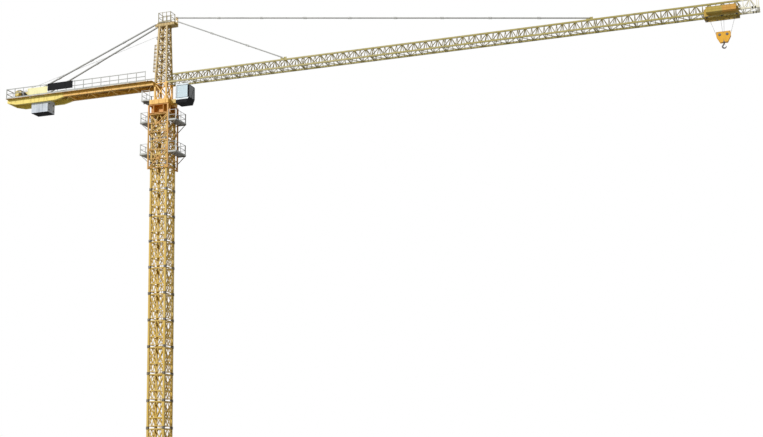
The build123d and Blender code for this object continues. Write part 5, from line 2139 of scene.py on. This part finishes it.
@dataclass
class Hook:
    """Forged hook with a swelling bend, a pointed tip, a thrust collar and a spring latch."""

    x: float = 26.5
    top: float = 19.3094
    centre: float = 19.1399
    mean: float = 0.0785
    shank: float = 0.029
    neck: float = 0.125
    sides: int = 16
    neck_steps: int = 9
    bend_steps: int = 22
    thinning: float = 0.55

    def dress(self) -> None:
        """Add the forged hook, its collar and its latch."""
        self._forging()
        self._collar()
        self._latch()

    def _stations(self) -> list[tuple[Vector, Vector, float, float]]:
        """Lay out the sections along the hook, from the shank to the tip.

        Returns:
            Middle, outward direction and half sizes of each section.
        """
        stations = []
        crown = self.centre + self.neck
        for i in range(4):
            z = self.top + (crown - self.top) * i / 3
            stations.append((Vector((self.x, 0.0, z)), Vector((-1.0, 0.0, 0.0)), self.shank, self.shank))
        for i in range(1, self.neck_steps):
            t = i / self.neck_steps
            ease = t * t * (3 - 2 * t)
            slope = 6 * t * (1 - t) * self.mean / (crown - self.centre)
            out = Vector((-1.0, 0.0, slope)).normalized()
            spot = Vector((self.x - self.mean * ease, 0.0, crown + (self.centre - crown) * t))
            stations.append((spot, out, self.shank + 0.003 * t, self.shank - 0.002 * t))
        for i in range(self.bend_steps):
            share = i / self.bend_steps
            turn = math.pi * (1.0 + share * 0.98)
            thin = max(0.0, (share - self.thinning) / (1.0 - self.thinning))
            out = Vector((math.cos(turn), 0.0, math.sin(turn)))
            spot = Vector((self.x, 0.0, self.centre)) + out * (self.mean + 0.004 * thin)
            stations.append((spot, out, 0.031 - 0.018 * thin, 0.0275 - 0.015 * thin))
        return stations

    def _grow(self, mesh: bmesh.types.BMesh, ring: list[bmesh.types.BMVert]) -> list[bmesh.types.BMVert]:
        """Extrude the edges of a ring of points.

        Args:
            mesh: The mesh that holds the ring.
            ring: Its points, in order.

        Returns:
            The new points, in any order.
        """
        edges = [mesh.edges.get((ring[i], ring[i - 1])) for i in range(self.sides)]
        grown = bmesh.ops.extrude_edge_only(mesh, edges=edges)["geom"]
        return [item for item in grown if isinstance(item, bmesh.types.BMVert)]

    def _forging(self) -> None:
        """Draw a ring of points along the bend and close both ends."""
        shape = Shape()
        mesh = shape.mesh
        ring = bmesh.ops.create_circle(mesh, segments=self.sides, radius=1.0, cap_ends=False)["verts"]
        turns = [2 * math.pi * i / self.sides for i in range(self.sides)]
        stations = self._stations()
        for index, (spot, out, wide, deep) in enumerate(stations):
            if index > 0:
                fresh = self._grow(mesh, ring)
                ring = [min(fresh, key=lambda v, old=old: (v.co - old.co).length) for old in ring]
            for vert, turn in zip(ring, turns):
                vert.co = spot + out * (math.cos(turn) * wide) + Vector((0.0, math.sin(turn) * deep, 0.0))
        ahead = stations[-1][0] + (stations[-1][0] - stations[-2][0]) * 1.1
        bmesh.ops.pointmerge(mesh, verts=self._grow(mesh, ring), merge_co=ahead)
        bmesh.ops.holes_fill(mesh, edges=[e for e in mesh.edges if e.is_boundary], sides=self.sides)
        bmesh.ops.recalc_face_normals(mesh, faces=mesh.faces[:])
        shape.piece("hook_forged", Body.HOOK, Coat.HOOK, replaces=("hook",), smooth=50.0)

    def _collar(self) -> None:
        """Thrust collar under the crosshead."""
        shape = Shape()
        profile = [(0.0, 0.0), (0.05, 0.0), (0.054, -0.004), (0.054, -0.018), (0.046, -0.024),
                   (0.034, -0.026), (0.0, -0.026)]
        shape.lathe((self.x, 0.0, self.top), ALONG_Z, profile, 28)
        shape.piece("hook_collar", Body.HOOK, Coat.BRIGHT, smooth=40.0)

    def _latch(self) -> None:
        """Spring latch across the mouth of the hook."""
        shape = Shape()
        start = (self.x + 0.022, 0.0, self.centre + 0.098)
        end = (self.x + self.mean - 0.004, 0.0, self.centre - 0.004)
        shape.bar(start, end, 0.026, 0.006, (1.0, 0.0, 1.0))
        shape.rod((start[0], -0.03, start[2]), (start[0], 0.03, start[2]), 0.008, 10)
        shape.piece("hook_latch", Body.HOOK, Coat.BRIGHT)


@dataclass
class Ropes:
    """Round wire ropes in place of the plain runs."""

    radius: float = 0.006
    outer_fall: float = 0.54
    outer_sheave: float = 0.2
    middle_sheave: float = 0.14
    block_sheave: float = 0.26
    block_offset: float = 0.155

    def dress(self) -> None:
        """Make the falls, the jib rope and the winch rope."""
        self._falls()
        self._runs()

    def _falls(self) -> None:
        """Four falls that lengthen between trolley and hook block."""
        low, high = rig.box("jib_rope")
        rope_level = (low[2] + high[2]) / 2
        block_low, block_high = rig.box("block_sheaves")
        middle = (block_low[0] + block_high[0]) / 2
        axis = (block_low[2] + block_high[2]) / 2
        shape = Shape()
        for side in (-1, 1):
            centre = Vector((middle + side * self.block_offset, axis))
            plan = ((self.outer_fall, self.outer_sheave, side),
                    (self.middle_sheave / 2, self.middle_sheave, -side))
            for reach, diameter, outward in plan:
                top = Vector((middle + side * reach, rope_level - diameter / 2))
                foot = self._touch(top, centre, self.block_sheave / 2, outward)
                shape.rod((top.x, 0.0, top.y), (foot.x, 0.0, foot.y), self.radius, 8)
        falls = shape.piece("hoist_rope_falls", Body.TROLLEY, Coat.ROPE, smooth=60.0, rides=False,
                            replaces=("hoist_falls",))
        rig.blend(falls, Body.TROLLEY.value, Body.BLOCK.value,
                 start=(middle, 0.0, rope_level - self.outer_sheave / 2 - 0.01),
                 end=(middle, 0.0, axis + 0.03))

    @staticmethod
    def _touch(top: Vector, centre: Vector, radius: float, side: int) -> Vector:
        """Where a straight rope from above meets a sheave.

        Args:
            top: Upper end of the rope, in X and Z.
            centre: Middle of the sheave, in X and Z.
            radius: Radius of the rope's middle line on the sheave.
            side: Side of the sheave that the rope meets.

        Returns:
            The touching point, in X and Z.
        """
        run = top - centre
        turn = -side * math.acos(radius / run.length)
        run = run.normalized() * radius
        return centre + Vector((run.x * math.cos(turn) - run.y * math.sin(turn),
                                run.x * math.sin(turn) + run.y * math.cos(turn)))

    def _runs(self) -> None:
        """Round ropes along the jib and from the drum up to the sheave on the head."""
        low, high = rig.box("jib_rope")
        y, z = (low[1] + high[1]) / 2, (low[2] + high[2]) / 2
        along = Shape()
        along.rod((low[0], y, z), (high[0], y, z), self.radius, 8)
        along.piece("hoist_rope_along_jib", Body.UPPER, Coat.ROPE, replaces=("jib_rope",), smooth=60.0)
        low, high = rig.box("winch_rope")
        rising = Shape()
        rising.rod((low[0] + self.radius, 0.0, low[2] + self.radius),
                   (high[0] - self.radius, 0.0, high[2] - self.radius), self.radius, 8)
        rising.piece("hoist_rope_from_winch", Body.UPPER, Coat.ROPE, replaces=("winch_rope",), smooth=60.0)


@dataclass
class Record:
    """The sizes of the solids and of the dressed crane."""

    path: str = "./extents.json"

    def write(self) -> None:
        """Write both boxes as plain numbers."""
        dressed = [list(corner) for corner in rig.bounds()]
        with open(self.path, "w", encoding="utf-8") as out:
            json.dump({"cad": [[float(v) for v in c] for c in CAD_BOX],
                       "visual": [[float(v) for v in c] for c in dressed]}, out)


def main() -> None:
    """Dress the crane piece by piece and set the studio."""
    logging.basicConfig(level=logging.INFO, format="%(message)s")
    Studio().build()
    SolidFinishes().dress()
    for assembly in (Base(), Mast(), Cage(), Slewing(), Head(), Jib(), Ties(), CounterJib(), Winch(), Cab(),
                     Trolley(), HookBlock(), Hook(), Ropes()):
        LOG.info("dressing %s", type(assembly).__name__)
        assembly.dress()
    Record().write()


if __name__ == "__main__":
    main()
